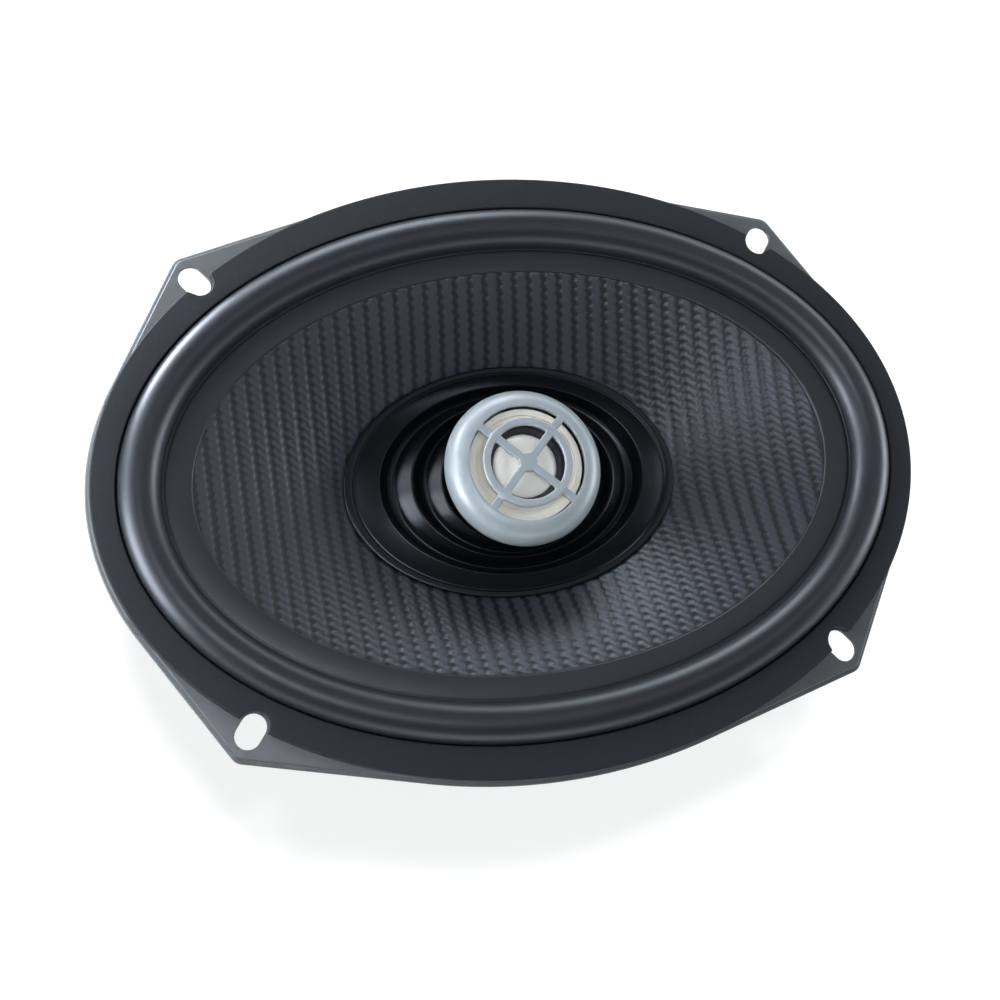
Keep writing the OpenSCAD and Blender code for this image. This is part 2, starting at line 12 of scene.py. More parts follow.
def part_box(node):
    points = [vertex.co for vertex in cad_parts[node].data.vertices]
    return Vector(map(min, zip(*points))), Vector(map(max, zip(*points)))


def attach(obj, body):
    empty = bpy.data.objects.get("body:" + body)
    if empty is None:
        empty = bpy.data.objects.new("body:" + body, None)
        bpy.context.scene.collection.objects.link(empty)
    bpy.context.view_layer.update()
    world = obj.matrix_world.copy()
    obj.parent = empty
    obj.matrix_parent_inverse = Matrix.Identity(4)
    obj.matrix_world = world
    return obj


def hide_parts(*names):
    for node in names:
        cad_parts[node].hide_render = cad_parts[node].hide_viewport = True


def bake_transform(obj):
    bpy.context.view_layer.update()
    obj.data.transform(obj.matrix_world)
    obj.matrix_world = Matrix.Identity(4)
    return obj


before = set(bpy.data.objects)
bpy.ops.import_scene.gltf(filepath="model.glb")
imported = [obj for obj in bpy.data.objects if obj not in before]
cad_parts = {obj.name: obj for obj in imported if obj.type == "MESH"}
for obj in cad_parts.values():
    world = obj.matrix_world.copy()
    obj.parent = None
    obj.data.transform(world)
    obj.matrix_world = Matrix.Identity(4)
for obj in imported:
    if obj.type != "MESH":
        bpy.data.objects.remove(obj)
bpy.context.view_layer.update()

MM = 0.001
TAU = 2 * math.pi
AROUND = 288  # points round an oval
TURNED = 192  # points round a small turned piece


# -------- mesh tools
def linked(name, data):
    """New object in the scene."""
    obj = bpy.data.objects.new(name, data)
    bpy.context.scene.collection.objects.link(obj)
    return obj


def quads(rows, cols, wrap_rows=False, wrap_cols=True):
    """Faces of a grid of rows x cols points, numbered row by row."""
    r = np.arange(rows if wrap_rows else rows - 1)
    c = np.arange(cols if wrap_cols else cols - 1)
    a, b = np.meshgrid(r, c, indexing="ij")
    a2, b2 = (a + 1) % rows, (b + 1) % cols
    return np.stack([a * cols + b, a * cols + b2, a2 * cols + b2, a2 * cols + b], -1).reshape(-1, 4)


class Shell:
    """Collects points in millimetres and faces, and turns them into one object."""

    def __init__(self):
        self.points, self.faces, self.count = [], [], 0

    def add(self, points, faces):
        points = np.asarray(points, float).reshape(-1, 3)
        self.points.append(points)
        self.faces += [[int(i) + self.count for i in f] for f in faces]
        self.count += len(points)
        return self

    def rings(self, rings, wrap_rows=False):
        rings = [np.asarray(r, float) for r in rings]
        self.add(np.concatenate(rings), quads(len(rings), len(rings[0]), wrap_rows))
        return self

    def build(self, name, merge=0.004, smooth=True):
        mesh = bpy.data.meshes.new(name)
        mesh.from_pydata((np.concatenate(self.points) * MM).tolist(), [], self.faces)
        bm = bmesh.new()
        bm.from_mesh(mesh)
        bmesh.ops.remove_doubles(bm, verts=bm.verts, dist=merge * MM)
        bmesh.ops.dissolve_degenerate(bm, dist=1e-7, edges=bm.edges)
        bmesh.ops.recalc_face_normals(bm, faces=bm.faces)
        bm.to_mesh(mesh)
        bm.free()
        mesh.polygons.foreach_set("use_smooth", [smooth] * len(mesh.polygons))
        return linked(name, mesh)


def oval(a, b, z, count=AROUND):
    """Points of a level oval with half axes a and b."""
    t = np.arange(count) * TAU / count
    return np.stack([a * np.cos(t), b * np.sin(t), np.full(count, float(z))], -1)


def soften(path, radius, closed=True, steps=4):
    """Rounds the corners of a path. radius is one number or one per point."""
    p = [np.array(q, float) for q in path]
    n = len(p)
    radii = [radius] * n if np.isscalar(radius) else radius
    out = []
    for k in range(n):
        if not closed and k in (0, n - 1):
            out.append(p[k])
            continue
        a, b, c = p[k - 1], p[k], p[(k + 1) % n]
        la, lc = np.linalg.norm(a - b), np.linalg.norm(c - b)
        u, v = (a - b) / la, (c - b) / lc
        turn = math.pi - math.acos(max(-1.0, min(1.0, float(u @ v))))
        cut = min(radii[k] * math.tan(min(turn, 3.0) / 2), 0.48 * la, 0.48 * lc)
        if cut < 1e-3:
            out.append(b)
            continue
        for i in range(steps + 1):
            t = i / steps
            out.append((1 - t) ** 2 * (b + u * cut) + 2 * t * (1 - t) * b + t * t * (b + v * cut))
    return out


def as_oval(path):
    """A lathe path (r, z) as an oval path (a, b, z)."""
    return [(p[0], p[0], p[1]) for p in path]


def offset(path, t):
    """Copy of an open path (a, b, z), moved t to its left where it runs inwards."""
    p = np.asarray(path, float)
    d = np.empty_like(p)
    d[1:-1] = p[2:] - p[:-2]
    d[0], d[-1] = p[1] - p[0], p[-1] - p[-2]
    run = (d[:, 0] + d[:, 1]) / 2
    size = np.hypot(run, d[:, 2])
    q = p.copy()
    q[:, 0] -= d[:, 2] / size * t
    q[:, 1] -= d[:, 2] / size * t
    q[:, 2] += run / size * t
    return q


def lofted(name, path, count=AROUND):
    """Ring-shaped piece with the closed section path, a list of (a, b, z)."""
    return Shell().rings([oval(a, b, z, count) for a, b, z in path], True).build(name)


def lathe(name, path, radius=0.3, count=TURNED, steps=3):
    """Turned piece with the closed section path, a list of (r, z), its corners rounded to radius."""
    path = soften([(r, z) for r, z in path], radius, True, steps)
    path = [(max(r, 0.0), z) for r, z in path]
    return lofted(name, as_oval(path), count)


def weighted(obj, bevel=0.0, angle=40):
    """Softens edges sharper than angle by bevel millimetres, and weights the normals by face area."""
    if bevel:
        m = obj.modifiers.new("edges", "BEVEL")
        m.width, m.segments, m.limit_method = bevel * MM, 2, "ANGLE"
        m.angle_limit = math.radians(angle)
    n = obj.modifiers.new("shading", "WEIGHTED_NORMAL")
    n.keep_sharp = False
    n.weight = 80
    return obj


def baked(obj):
    """Applies the object's modifiers to its mesh."""
    dg = bpy.context.evaluated_depsgraph_get()
    mesh = bpy.data.meshes.new_from_object(obj.evaluated_get(dg))
    obj.modifiers.clear()
    obj.data = mesh
    return obj


def joined(name, parts):
    """One object with the meshes of all parts; the parts are removed."""
    bm = bmesh.new()
    for part in parts:
        part.data.transform(part.matrix_world)
        bm.from_mesh(part.data)
        bpy.data.objects.remove(part)
    mesh = bpy.data.meshes.new(name)
    bm.to_mesh(mesh)
    bm.free()
    mesh.polygons.foreach_set("use_smooth", [True] * len(mesh.polygons))
    return linked(name, mesh)


def placed(obj, matrix):
    """Moves the points of a new mesh; the object stays at the origin."""
    obj.data.transform(matrix)
    return obj


def prism_faces(n):
    """Sides and ends between two loops of n points, one numbered after the other."""
    sides = [[i, (i + 1) % n, n + (i + 1) % n, n + i] for i in range(n)]
    return sides + [list(range(n))[::-1], list(range(n, 2 * n))]


def prism(name, outline, z0, z1, bevel=0.0):
    """Flat part with a polygon outline, its edges softened by bevel millimetres."""
    points = [(x, y, z) for z in (z0, z1) for x, y in outline]
    obj = Shell().add(points, prism_faces(len(outline))).build(name, 1e-4)
    if bevel:
        weighted(obj, bevel, 50)
    return obj


def rounded_rect(w, h, r, steps=5):
    """Outline of a w x h rectangle round the origin, with corners of radius r."""
    out = []
    for cx, cy, start in ((1, 1, 0), (-1, 1, 90), (-1, -1, 180), (1, -1, 270)):
        for k in range(steps + 1):
            t = math.radians(start + 90 * k / steps)
            out.append((cx * (w / 2 - r) + r * math.cos(t), cy * (h / 2 - r) + r * math.sin(t)))
    return out


def smooth_line(guide, n):
    """Points of a smooth curve through the guide points."""
    g = [np.array(p, float) for p in guide]
    out = []
    for k in range(len(g) - 1):
        a, b, c, d = g[max(k - 1, 0)], g[k], g[k + 1], g[min(k + 2, len(g) - 1)]
        for i in range(n):
            t = i / n
            out.append((2 * b + (c - a) * t + (2 * a - 5 * b + 4 * c - d) * t * t
                        + (3 * b - a - 3 * c + d) * t ** 3) / 2)
    return out + [g[-1]]


def tube(name, line, radius, sides=16, twist=0.0, lobes=0, lobe_h=0.0):
    """Tube along a line of points; lobes give it a braided or stranded surface."""
    line = [np.array(p, float) for p in line]
    tangents = [line[min(k + 1, len(line) - 1)] - line[max(k - 1, 0)] for k in range(len(line))]
    u = np.cross(tangents[0], (1.0, 0.3, 0.1))
    rings, run = [], 0.0
    for k, (p, d) in enumerate(zip(line, tangents)):
        d = d / np.linalg.norm(d)
        u = u - d * (u @ d)
        u = u / np.linalg.norm(u)
        v = np.cross(d, u)
        run += np.linalg.norm(p - line[k - 1]) if k else 0.0
        t = np.arange(sides) * TAU / sides
        r = radius * (1 + lobe_h * np.cos(lobes * t + twist * run)) if lobes else np.full(sides, radius)
        rings.append(p + np.outer(r * np.cos(t), u) + np.outer(r * np.sin(t), v))
    shell = Shell()
    shell.rings(rings)
    last = (len(line) - 1) * sides
    shell.faces += [list(range(sides))[::-1], [last + i for i in range(sides)]]
    return shell.build(name, 1e-4)


def smoothstep(x):
    """Rises smoothly from 0 to 1 as x does, and stays there beyond."""
    x = np.clip(x, 0, 1)
    return x * x * (3 - 2 * x)


# -------- materials
def srgb(*c):
    """Linear colour of an 8-bit display colour."""
    return tuple(((v / 255 + 0.055) / 1.055) ** 2.4 if v > 10 else v / 255 / 12.92 for v in c) + (1.0,)


FINISH = {}  # every material by its name


class Finish:
    """A node material: shader sockets for what is uniform, textures for the rest."""

    def __init__(self, name, colour, rough, metal=0.0, **sockets):
        self.mat = bpy.data.materials.new(name)
        self.mat.use_nodes = True
        self.tree = self.mat.node_tree
        self.shader = self.tree.nodes["Principled BSDF"]
        self.colour, self.rough = colour, rough
        self.shader.inputs["Base Color"].default_value = colour
        self.shader.inputs["Roughness"].default_value = rough
        self.shader.inputs["Metallic"].default_value = metal
        for key, value in sockets.items():
            self.shader.inputs[key.replace("_", " ")].default_value = value
        self.coords = self.node("ShaderNodeTexCoord").outputs["Object"]
        self.height = None
        FINISH[name] = self.mat

    def node(self, kind, **settings):
        n = self.tree.nodes.new(kind)
        for key, value in settings.items():
            setattr(n, key, value)
        return n

    def link(self, a, b):
        self.tree.links.new(a, b)
        return b

    def math(self, operation, a, b=None):
        """Result of a Math node; a and b are sockets or numbers."""
        n = self.node("ShaderNodeMath", operation=operation)
        for i, v in enumerate((a, b)):
            if v is None:
                continue
            if isinstance(v, (int, float)):
                n.inputs[i].default_value = v
            else:
                self.link(v, n.inputs[i])
        return n.outputs[0]

    def scaled(self, factors):
        m = self.node("ShaderNodeMapping")
        m.inputs["Scale"].default_value = factors
        self.link(self.coords, m.inputs["Vector"])
        return m.outputs["Vector"]

    def noise(self, size_mm, detail=3.0, roughness=0.55, stretch=None):
        """Noise with features of about size_mm; stretch is a factor for each axis."""
        n = self.node("ShaderNodeTexNoise")
        n.inputs["Scale"].default_value = 1000.0 / size_mm
        n.inputs["Detail"].default_value = detail
        n.inputs["Roughness"].default_value = roughness
        self.link(self.scaled(stretch) if stretch else self.coords, n.inputs["Vector"])
        return n.outputs["Fac"]

    def wave(self, pitch_mm, direction="X", distortion=0.0):
        """Parallel bands, one every pitch_mm along the direction."""
        n = self.node("ShaderNodeTexWave", wave_type="BANDS", bands_direction=direction)
        n.inputs["Scale"].default_value = TAU / 20 * 1000.0 / pitch_mm
        n.inputs["Distortion"].default_value = distortion
        self.link(self.coords, n.inputs["Vector"])
        return n.outputs["Fac"]

    def spread(self, factor, low, high):
        """Maps a 0..1 factor to the range low..high."""
        m = self.node("ShaderNodeMapRange")
        m.inputs["To Min"].default_value = low
        m.inputs["To Max"].default_value = high
        self.link(factor, m.inputs["Value"])
        return m.outputs["Result"]

    def shade(self, factor, low, high):
        """Colour varies with factor between two shades of the base colour."""
        ramp = self.node("ShaderNodeValToRGB")
        dark = tuple(c * low for c in self.colour[:3]) + (1.0,)
        light = tuple(min(1.0, c * high) for c in self.colour[:3]) + (1.0,)
        for stop, place, colour in zip(ramp.color_ramp.elements, (0.3, 0.7), (dark, light)):
            stop.position, stop.color = place, colour
        self.link(factor, ramp.inputs["Fac"])
        self.link(ramp.outputs["Color"], self.shader.inputs["Base Color"])
        return self

    def polish(self, factor, swing=0.08):
        """Roughness varies with factor by swing to either side."""
        varied = self.spread(factor, self.rough - swing, self.rough + swing)
        self.link(varied, self.shader.inputs["Roughness"])
        return self

    def bump(self, factor, depth_mm, strength=1.0):
        """Adds relief to what earlier calls made."""
        b = self.node("ShaderNodeBump")
        b.inputs["Distance"].default_value = depth_mm * MM
        b.inputs["Strength"].default_value = strength
        self.link(factor, b.inputs["Height"])
        if self.height is not None:
            self.link(self.height, b.inputs["Normal"])
        self.height = b.outputs["Normal"]
        self.link(self.height, self.shader.inputs["Normal"])
        return self


SCORE_FROM, SCORE_STEP, SCORES = 86, 26.3, 6  # first line, angle between lines in degrees, how many
SCORE_R0, SCORE_R1, SCORE_HALF = 16.4, 20.2, 0.1  # radii at the ends of a line and half its width, mm


def score_lines(f):
    """Height of the fine radial lines on the left half of the tweeter's trim: 0 in a line, 1 elsewhere."""
    split = f.node("ShaderNodeSeparateXYZ")
    f.link(f.coords, split.inputs[0])
    x, y = split.outputs["X"], split.outputs["Y"]
    step = math.radians(SCORE_STEP)

    def between(value, low, high):
        return f.math("MULTIPLY", f.math("GREATER_THAN", value, low), f.math("LESS_THAN", value, high))

    turn = f.math("ADD", f.math("ARCTAN2", f.math("MULTIPLY", y, -1.0), f.math("MULTIPLY", x, -1.0)), math.pi)
    steps = f.math("DIVIDE", f.math("SUBTRACT", turn, math.radians(SCORE_FROM)), step)
    off = f.math("ABSOLUTE", f.math("SUBTRACT", steps, f.math("ROUND", steps)))
    radius = f.math("POWER", f.math("ADD", f.math("POWER", x, 2.0), f.math("POWER", y, 2.0)), 0.5)
    gap = f.math("MULTIPLY", f.math("MULTIPLY", off, step), radius)
    line = f.math("LESS_THAN", gap, SCORE_HALF * MM)
    left, band = between(steps, -0.4, SCORES - 0.6), between(radius, SCORE_R0 * MM, SCORE_R1 * MM)
    return f.math("SUBTRACT", 1.0, f.math("MULTIPLY", line, f.math("MULTIPLY", left, band)))


def materials():
    """Makes every material of the speaker, each named after its slot. Sizes are in millimetres."""
    def plain(slot, colour, rough, metal=0.0, grain=0.4, depth=0.02, low=0.85, high=1.15, **sockets):
        f = Finish(slot, colour, rough, metal, **sockets)
        blotch = f.noise(14, 3)
        fine = f.noise(grain, 2)
        f.shade(blotch, low, high).polish(fine, 0.06).bump(fine, depth)

    coat = Finish("frame_coat", srgb(70, 70, 68), 0.4)
    peel = coat.noise(0.9, 2)
    coat.shade(coat.noise(9, 4), 0.86, 1.12).polish(coat.noise(2.5, 3), 0.08)
    coat.bump(peel, 0.05, 0.6).bump(coat.noise(0.25, 2), 0.012)

    felt = Finish("gasket", srgb(17, 18, 20), 0.74, Specular_IOR_Level=0.3)
    felt.shade(felt.noise(1.2, 4), 0.75, 1.25)
    felt.bump(felt.noise(0.5, 3), 0.06).bump(felt.noise(6, 2), 0.15, 0.4)

    rubber = Finish("surround_rubber", srgb(20, 22, 26), 0.38)
    rubber.shade(rubber.noise(16, 3), 0.92, 1.08).polish(rubber.noise(5, 3), 0.05)
    rubber.bump(rubber.noise(0.5, 3), 0.02, 0.7).bump(rubber.noise(0.18, 2), 0.008)

    weave = Finish("cone_weave", srgb(35, 37, 41), 0.38)
    fibre = weave.noise(0.16, 2, 0.5, (1.0, 0.22, 1.0))
    # The point attribute relief holds each point's tow cover. Multiplied into the noise, it darkens the
    # colour where the cover is low: painted shade in the gaps between the woven columns, on top of random
    # tone.
    relief = weave.node("ShaderNodeAttribute", attribute_name="relief").outputs["Fac"]
    blotch = weave.math("MULTIPLY", weave.spread(weave.noise(3, 4), 0.75, 1.25), relief)
    weave.shade(blotch, 0.3, 1.35).polish(weave.noise(1.0, 3), 0.07)
    weave.bump(fibre, 0.03, 0.7)

    cap = Finish("cap_plastic", srgb(8, 9, 11), 0.25, Specular_IOR_Level=0.28)
    cap.shade(cap.noise(12, 3), 0.85, 1.15).polish(cap.noise(3, 3), 0.05)
    cap.bump(cap.noise(0.35, 2), 0.01)

    satin = Finish("bezel_satin", srgb(140, 144, 144), 0.4, 0.15, Coat_Weight=0.15, Coat_Roughness=0.25)
    satin.shade(satin.noise(5, 3), 0.93, 1.06).polish(satin.noise(0.8, 3), 0.05)
    satin.bump(satin.noise(0.12, 2), 0.006).bump(satin.noise(2.4, 2), 0.03, 0.4)
    satin.bump(score_lines(satin), 0.12)

    plain("dome_pearl", srgb(250, 243, 228), 0.28, 0.0, 0.2, 0.004, 0.97, 1.02, Coat_Weight=0.3)
    plain("faceplate_pearl", srgb(232, 222, 204), 0.3, 0.1, 0.3, 0.006, 0.94, 1.03)
    plain("housing_plastic", srgb(148, 156, 162), 0.5, 0.0, 0.5, 0.03)
    plain("cover_rubber", srgb(34, 34, 36), 0.62, 0.0, 0.6, 0.05, 0.85, 1.2)
    plain("ferrite", srgb(58, 58, 60), 0.55, 0.0, 0.3, 0.05, 0.8, 1.25)
    plain("plated_steel", srgb(172, 175, 178), 0.3, 1.0, 0.5, 0.01, 0.9, 1.05)
    plain("rivet_metal", srgb(186, 187, 190), 0.28, 1.0, 0.3, 0.008, 0.9, 1.05)
    plain("post_metal", srgb(150, 154, 160), 0.32, 1.0, 0.3, 0.008)
    plain("nickel", srgb(205, 203, 198), 0.14, 1.0, 0.6, 0.004, 0.95, 1.03)
    plain("brass", srgb(196, 164, 92), 0.26, 1.0, 0.4, 0.008, 0.88, 1.08)
    plain("terminal_metal", srgb(202, 176, 110), 0.24, 1.0, 0.4, 0.008, 0.9, 1.06)
    plain("former", srgb(172, 136, 84), 0.6, 0.0, 0.3, 0.02, 0.88, 1.1)
    plain("capacitor_sleeve", srgb(30, 44, 96), 0.32, 0.0, 0.8, 0.02, 0.85, 1.15)
    plain("lead_insulation", srgb(30, 30, 33), 0.5, 0.0, 0.4, 0.01)
    plain("suspension_cloth", srgb(34, 34, 37), 0.7, 0.0, 0.25, 0.03)

    wire = Finish("copper_winding", srgb(186, 110, 66), 0.3, 1.0)
    wire.shade(wire.noise(2, 2), 0.85, 1.1).bump(wire.wave(0.35, "Z"), 0.06)

    board = Finish("board", srgb(98, 72, 48), 0.5)
    board.shade(board.noise(1.6, 4, 0.6, (1.0, 0.3, 0.3)), 0.8, 1.2).bump(board.noise(0.4, 3), 0.02)

    cloth = Finish("spider_cloth", srgb(196, 166, 104), 0.8)
    warp = cloth.math("ADD", cloth.wave(0.55, "X", 0.4), cloth.wave(0.55, "Y", 0.4))
    cloth.shade(warp, 0.62, 1.1).bump(warp, 0.09)

    braid = Finish("tinsel", srgb(206, 190, 146), 0.36, 0.9)
    braid.shade(braid.noise(0.5, 2), 0.7, 1.15).bump(braid.noise(0.2, 2), 0.03)


materials()


def coated(obj, slot):
    obj.data.materials.clear()
    obj.data.materials.append(FINISH[slot])


def piece(obj, body, slot, node):
    """Gives a new piece its body and its slot's material, and hides the CAD node it stands for."""
    coated(obj, slot)
    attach(obj, body)
    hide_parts(node)


def flexing(obj, slot, node, weights):
    """A soft piece that the frame holds at one edge and a moving body at the other: it gets its slot's
    material, its placement is baked into its points and its CAD node is hidden.

    weights is not used.
    """
    coated(obj, slot)
    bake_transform(obj)
    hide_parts(node)


def points_mm(obj):
    """The vertices' x, y and z, each as one array in millimetres."""
    co = np.empty(len(obj.data.vertices) * 3)
    obj.data.vertices.foreach_get("co", co)
    return (co.reshape(-1, 3) / MM).T


def radii_mm(obj):
    x, y, _ = points_mm(obj)
    return np.hypot(x, y)


# -------- sizes shared with the CAD, in millimetres
FLANGE_A, FLANGE_B, FLANGE_H = 117.2, 85.8, 2.5  # flange: half axes and the height of its face
SHEET, LIP_W, TAB_R = 1.1, 1.3, 4.0  # steel, lip round the flange, rounding of the tabs
TAB_X, TAB_Y = 84.6, 64.9  # centres of the tabs' roundings
HOLE_X, HOLE_Y, SLOT_ANGLE = 82.5, 61.0, 52.0  # mounting slots: centres, and their turn in degrees
SLOT_W, SLOT_L = 6.8, 9.7
NOTCH_Y, NOTCH_HALF = 0.8, 0.9  # small nick in the lip at the right end
BOWL_A, BOWL_B = 109.1, 75.4  # bowl's half axes under the flange
BOARD_AT, BOARD_TURN = (0.0, -65.4, -16.9), 132.95  # terminal board: place, and turn about X in degrees
WEAVE_A, WEAVE_B, WEAVE_Z = 89.8, 57.0, 3.1  # outer edge of the cone's weave
CAP_A, CAP_B, CAP_Z = 48.4, 33.7, -12.0  # outer edge of the centre cap
NECK_R, NECK_Z = 16.3, -27.0  # the cone's neck
ROLL_A, ROLL_B, ROLL_Z = 103.4, 69.6, 3.7  # centre line of the surround's half roll
ROLL_R, RUBBER = 5.8, 0.7  # its outer radius and the rubber's thickness
FOOT_A, FOOT_B, FOOT_Z = 112, 79.2, 3.2  # the surround's glued foot: outer edge and top
CORNERS = [(1, 1), (-1, 1), (-1, -1), (1, -1)]


def outline(inset, notch=0.0):
    """Flange outline drawn in by inset: the hull of the oval and the four round tab corners."""
    steps = 720
    out = []
    for k in range(steps):
        t = TAU * k / steps
        n = np.array([math.cos(t), math.sin(t)])
        a, b = FLANGE_A - inset, FLANGE_B - inset
        reach = math.hypot(a * n[0], b * n[1])
        corner = np.array([math.copysign(TAB_X, n[0]), math.copysign(TAB_Y, n[1])])
        if corner @ n + TAB_R - inset > reach:
            p = corner + (TAB_R - inset) * n
        else:
            p = np.array([a * a * n[0], b * b * n[1]]) / reach
        if p[0] > 0:
            p = p - n * notch * max(0.0, 1 - abs(p[1] - NOTCH_Y) / NOTCH_HALF)
        out.append(p)
    return np.array(out)


def slot_outline(sx, sy, margin=0.0):
    """Outline of the mounting slot in the corner (sx, sy), widened by margin."""
    steps = 12
    reach, r = (SLOT_L - SLOT_W) / 2, SLOT_W / 2 + margin
    turn = math.radians(sx * sy * SLOT_ANGLE)
    out = []
    for side in (0, 1):
        for k in range(steps + 1):
            t = math.pi * (k / steps - 0.5 + side)
            x, y = reach * (1 - 2 * side) + r * math.cos(t), r * math.sin(t)
            out.append((sx * HOLE_X + x * math.cos(turn) - y * math.sin(turn),
                        sy * HOLE_Y + x * math.sin(turn) + y * math.cos(turn)))
    return np.array(out)


def inside(p, loop):
    """Even-odd test of points p against a closed loop."""
    hit = np.zeros(len(p), bool)
    for a, b in zip(loop, np.roll(loop, -1, 0)):
        cross = (a[1] > p[:, 1]) != (b[1] > p[:, 1])
        with np.errstate(divide="ignore", invalid="ignore"):
            x = a[0] + (p[:, 1] - a[1]) / (b[1] - a[1]) * (b[0] - a[0])
        hit ^= cross & (p[:, 0] < x)
    return hit


def plate_face(outer, inner, z):
    """Points and triangles of a flat face between two loops, with the four slots cut out."""
    loops = [np.asarray(outer)[:, :2], np.asarray(inner)[:, :2]] + [slot_outline(*c) for c in CORNERS]
    points, edges = [], []
    for loop in loops:
        base = len(points)
        points += [Vector(p) for p in loop]
        edges += [(base + i, base + (i + 1) % len(loop)) for i in range(len(loop))]
    v, _, tri = delaunay_2d_cdt(points, edges, [], 0, 1e-6)[:3]
    v = np.array([tuple(p) for p in v])
    mid = np.array([v[list(t)].mean(0) for t in tri])
    keep = inside(mid, loops[0]) & ~inside(mid, loops[1])
    for loop in loops[2:]:
        keep &= ~inside(mid, loop)
    return np.column_stack([v, np.full(len(v), z)]), [list(t) for t, k in zip(tri, keep) if k]


# -------- the pressed frame
CELLS = 6  # windows round the bowl, each in a cell of its own
CELL_HALF = 180 / CELLS  # degrees
CELL_Z, WINDOW_Z = (-8.2, -33.4), (-10.4, -30.6)  # top and bottom of a cell and of its window
WINDOW_HALF, BOARD_ROOM = 21.5, 4  # half a window in degrees, and what it leaves free for the terminal board
WINDOW_R = 7.0  # rounding of a window's corners
RUN_PER_DEGREE = 1.45  # millimetres round the bowl


def frame_path():
    """Outer face of the pressed bowl, from the flange down to the hole in the floor."""
    path = [(BOWL_A, BOWL_B, 0.9), (108.6, 74.9, -6), (105, 72, -9.5), (80, 58.5, -24), (58, 50.5, -34.2),
            (46.5, 46.5, -36.7), (40.5, 40.5, -36.7), (40.5, 40.5, -46), (20, 20, -46)]
    return soften(path, [0, 3, 5, 14, 14, 3, 1.6, 2.4, 0], False, 5)


def window_cell(mid, low, high, cell, window):
    """Rows of (angle, run) points from a cell's border to its rounded window, low..high in degrees."""
    t = np.linspace(0, 1, 49)[:-1]
    s = np.linspace(0, 1, 21)[:-1]
    a0, a1 = mid - CELL_HALF, mid + CELL_HALF
    (s0, s1), (h0, h1) = cell, window
    middle = np.array([(low + high) / 2, (h0 + h1) / 2])
    scale = np.array([1 / RUN_PER_DEGREE, 1.0])
    edges = [((a0, s0), (a1, s0), (low, h0), (high, h0), t),
             ((a1, s0), (a1, s1), (high, h0), (high, h1), s),
             ((a1, s1), (a0, s1), (high, h1), (low, h1), t),
             ((a0, s1), (a0, s0), (low, h1), (low, h0), s)]
    border, hole = [], []
    for p, q, hp, hq, shares in edges:
        p, q, hp, hq = map(np.array, (p, q, hp, hq))
        length = math.hypot((hq[0] - hp[0]) * RUN_PER_DEGREE, hq[1] - hp[1])
        for k in shares:
            border.append(p + (q - p) * k)
            along = hp + (hq - hp) * k
            d0, d1 = k * length, (1 - k) * length
            if min(d0, d1) < WINDOW_R:
                near, far = (hp, hq) if d0 < d1 else (hq, hp)
                turn = math.radians(45 * (1 - min(d0, d1) / WINDOW_R))
                ahead = (far - near) / scale
                ahead = ahead / np.linalg.norm(ahead)
                inward = (middle - near) / scale
                inward = inward - ahead * (inward @ ahead)
                inward = inward / np.linalg.norm(inward)
                arc = ahead * WINDOW_R + inward * WINDOW_R
                arc = arc - inward * WINDOW_R * math.cos(turn) - ahead * WINDOW_R * math.sin(turn)
                along = near + arc * scale
            hole.append(along)
    border, hole = np.array(border), np.array(hole)
    rows = 6
    return [border + (hole - border) * (k / rows) for k in range(rows + 1)]


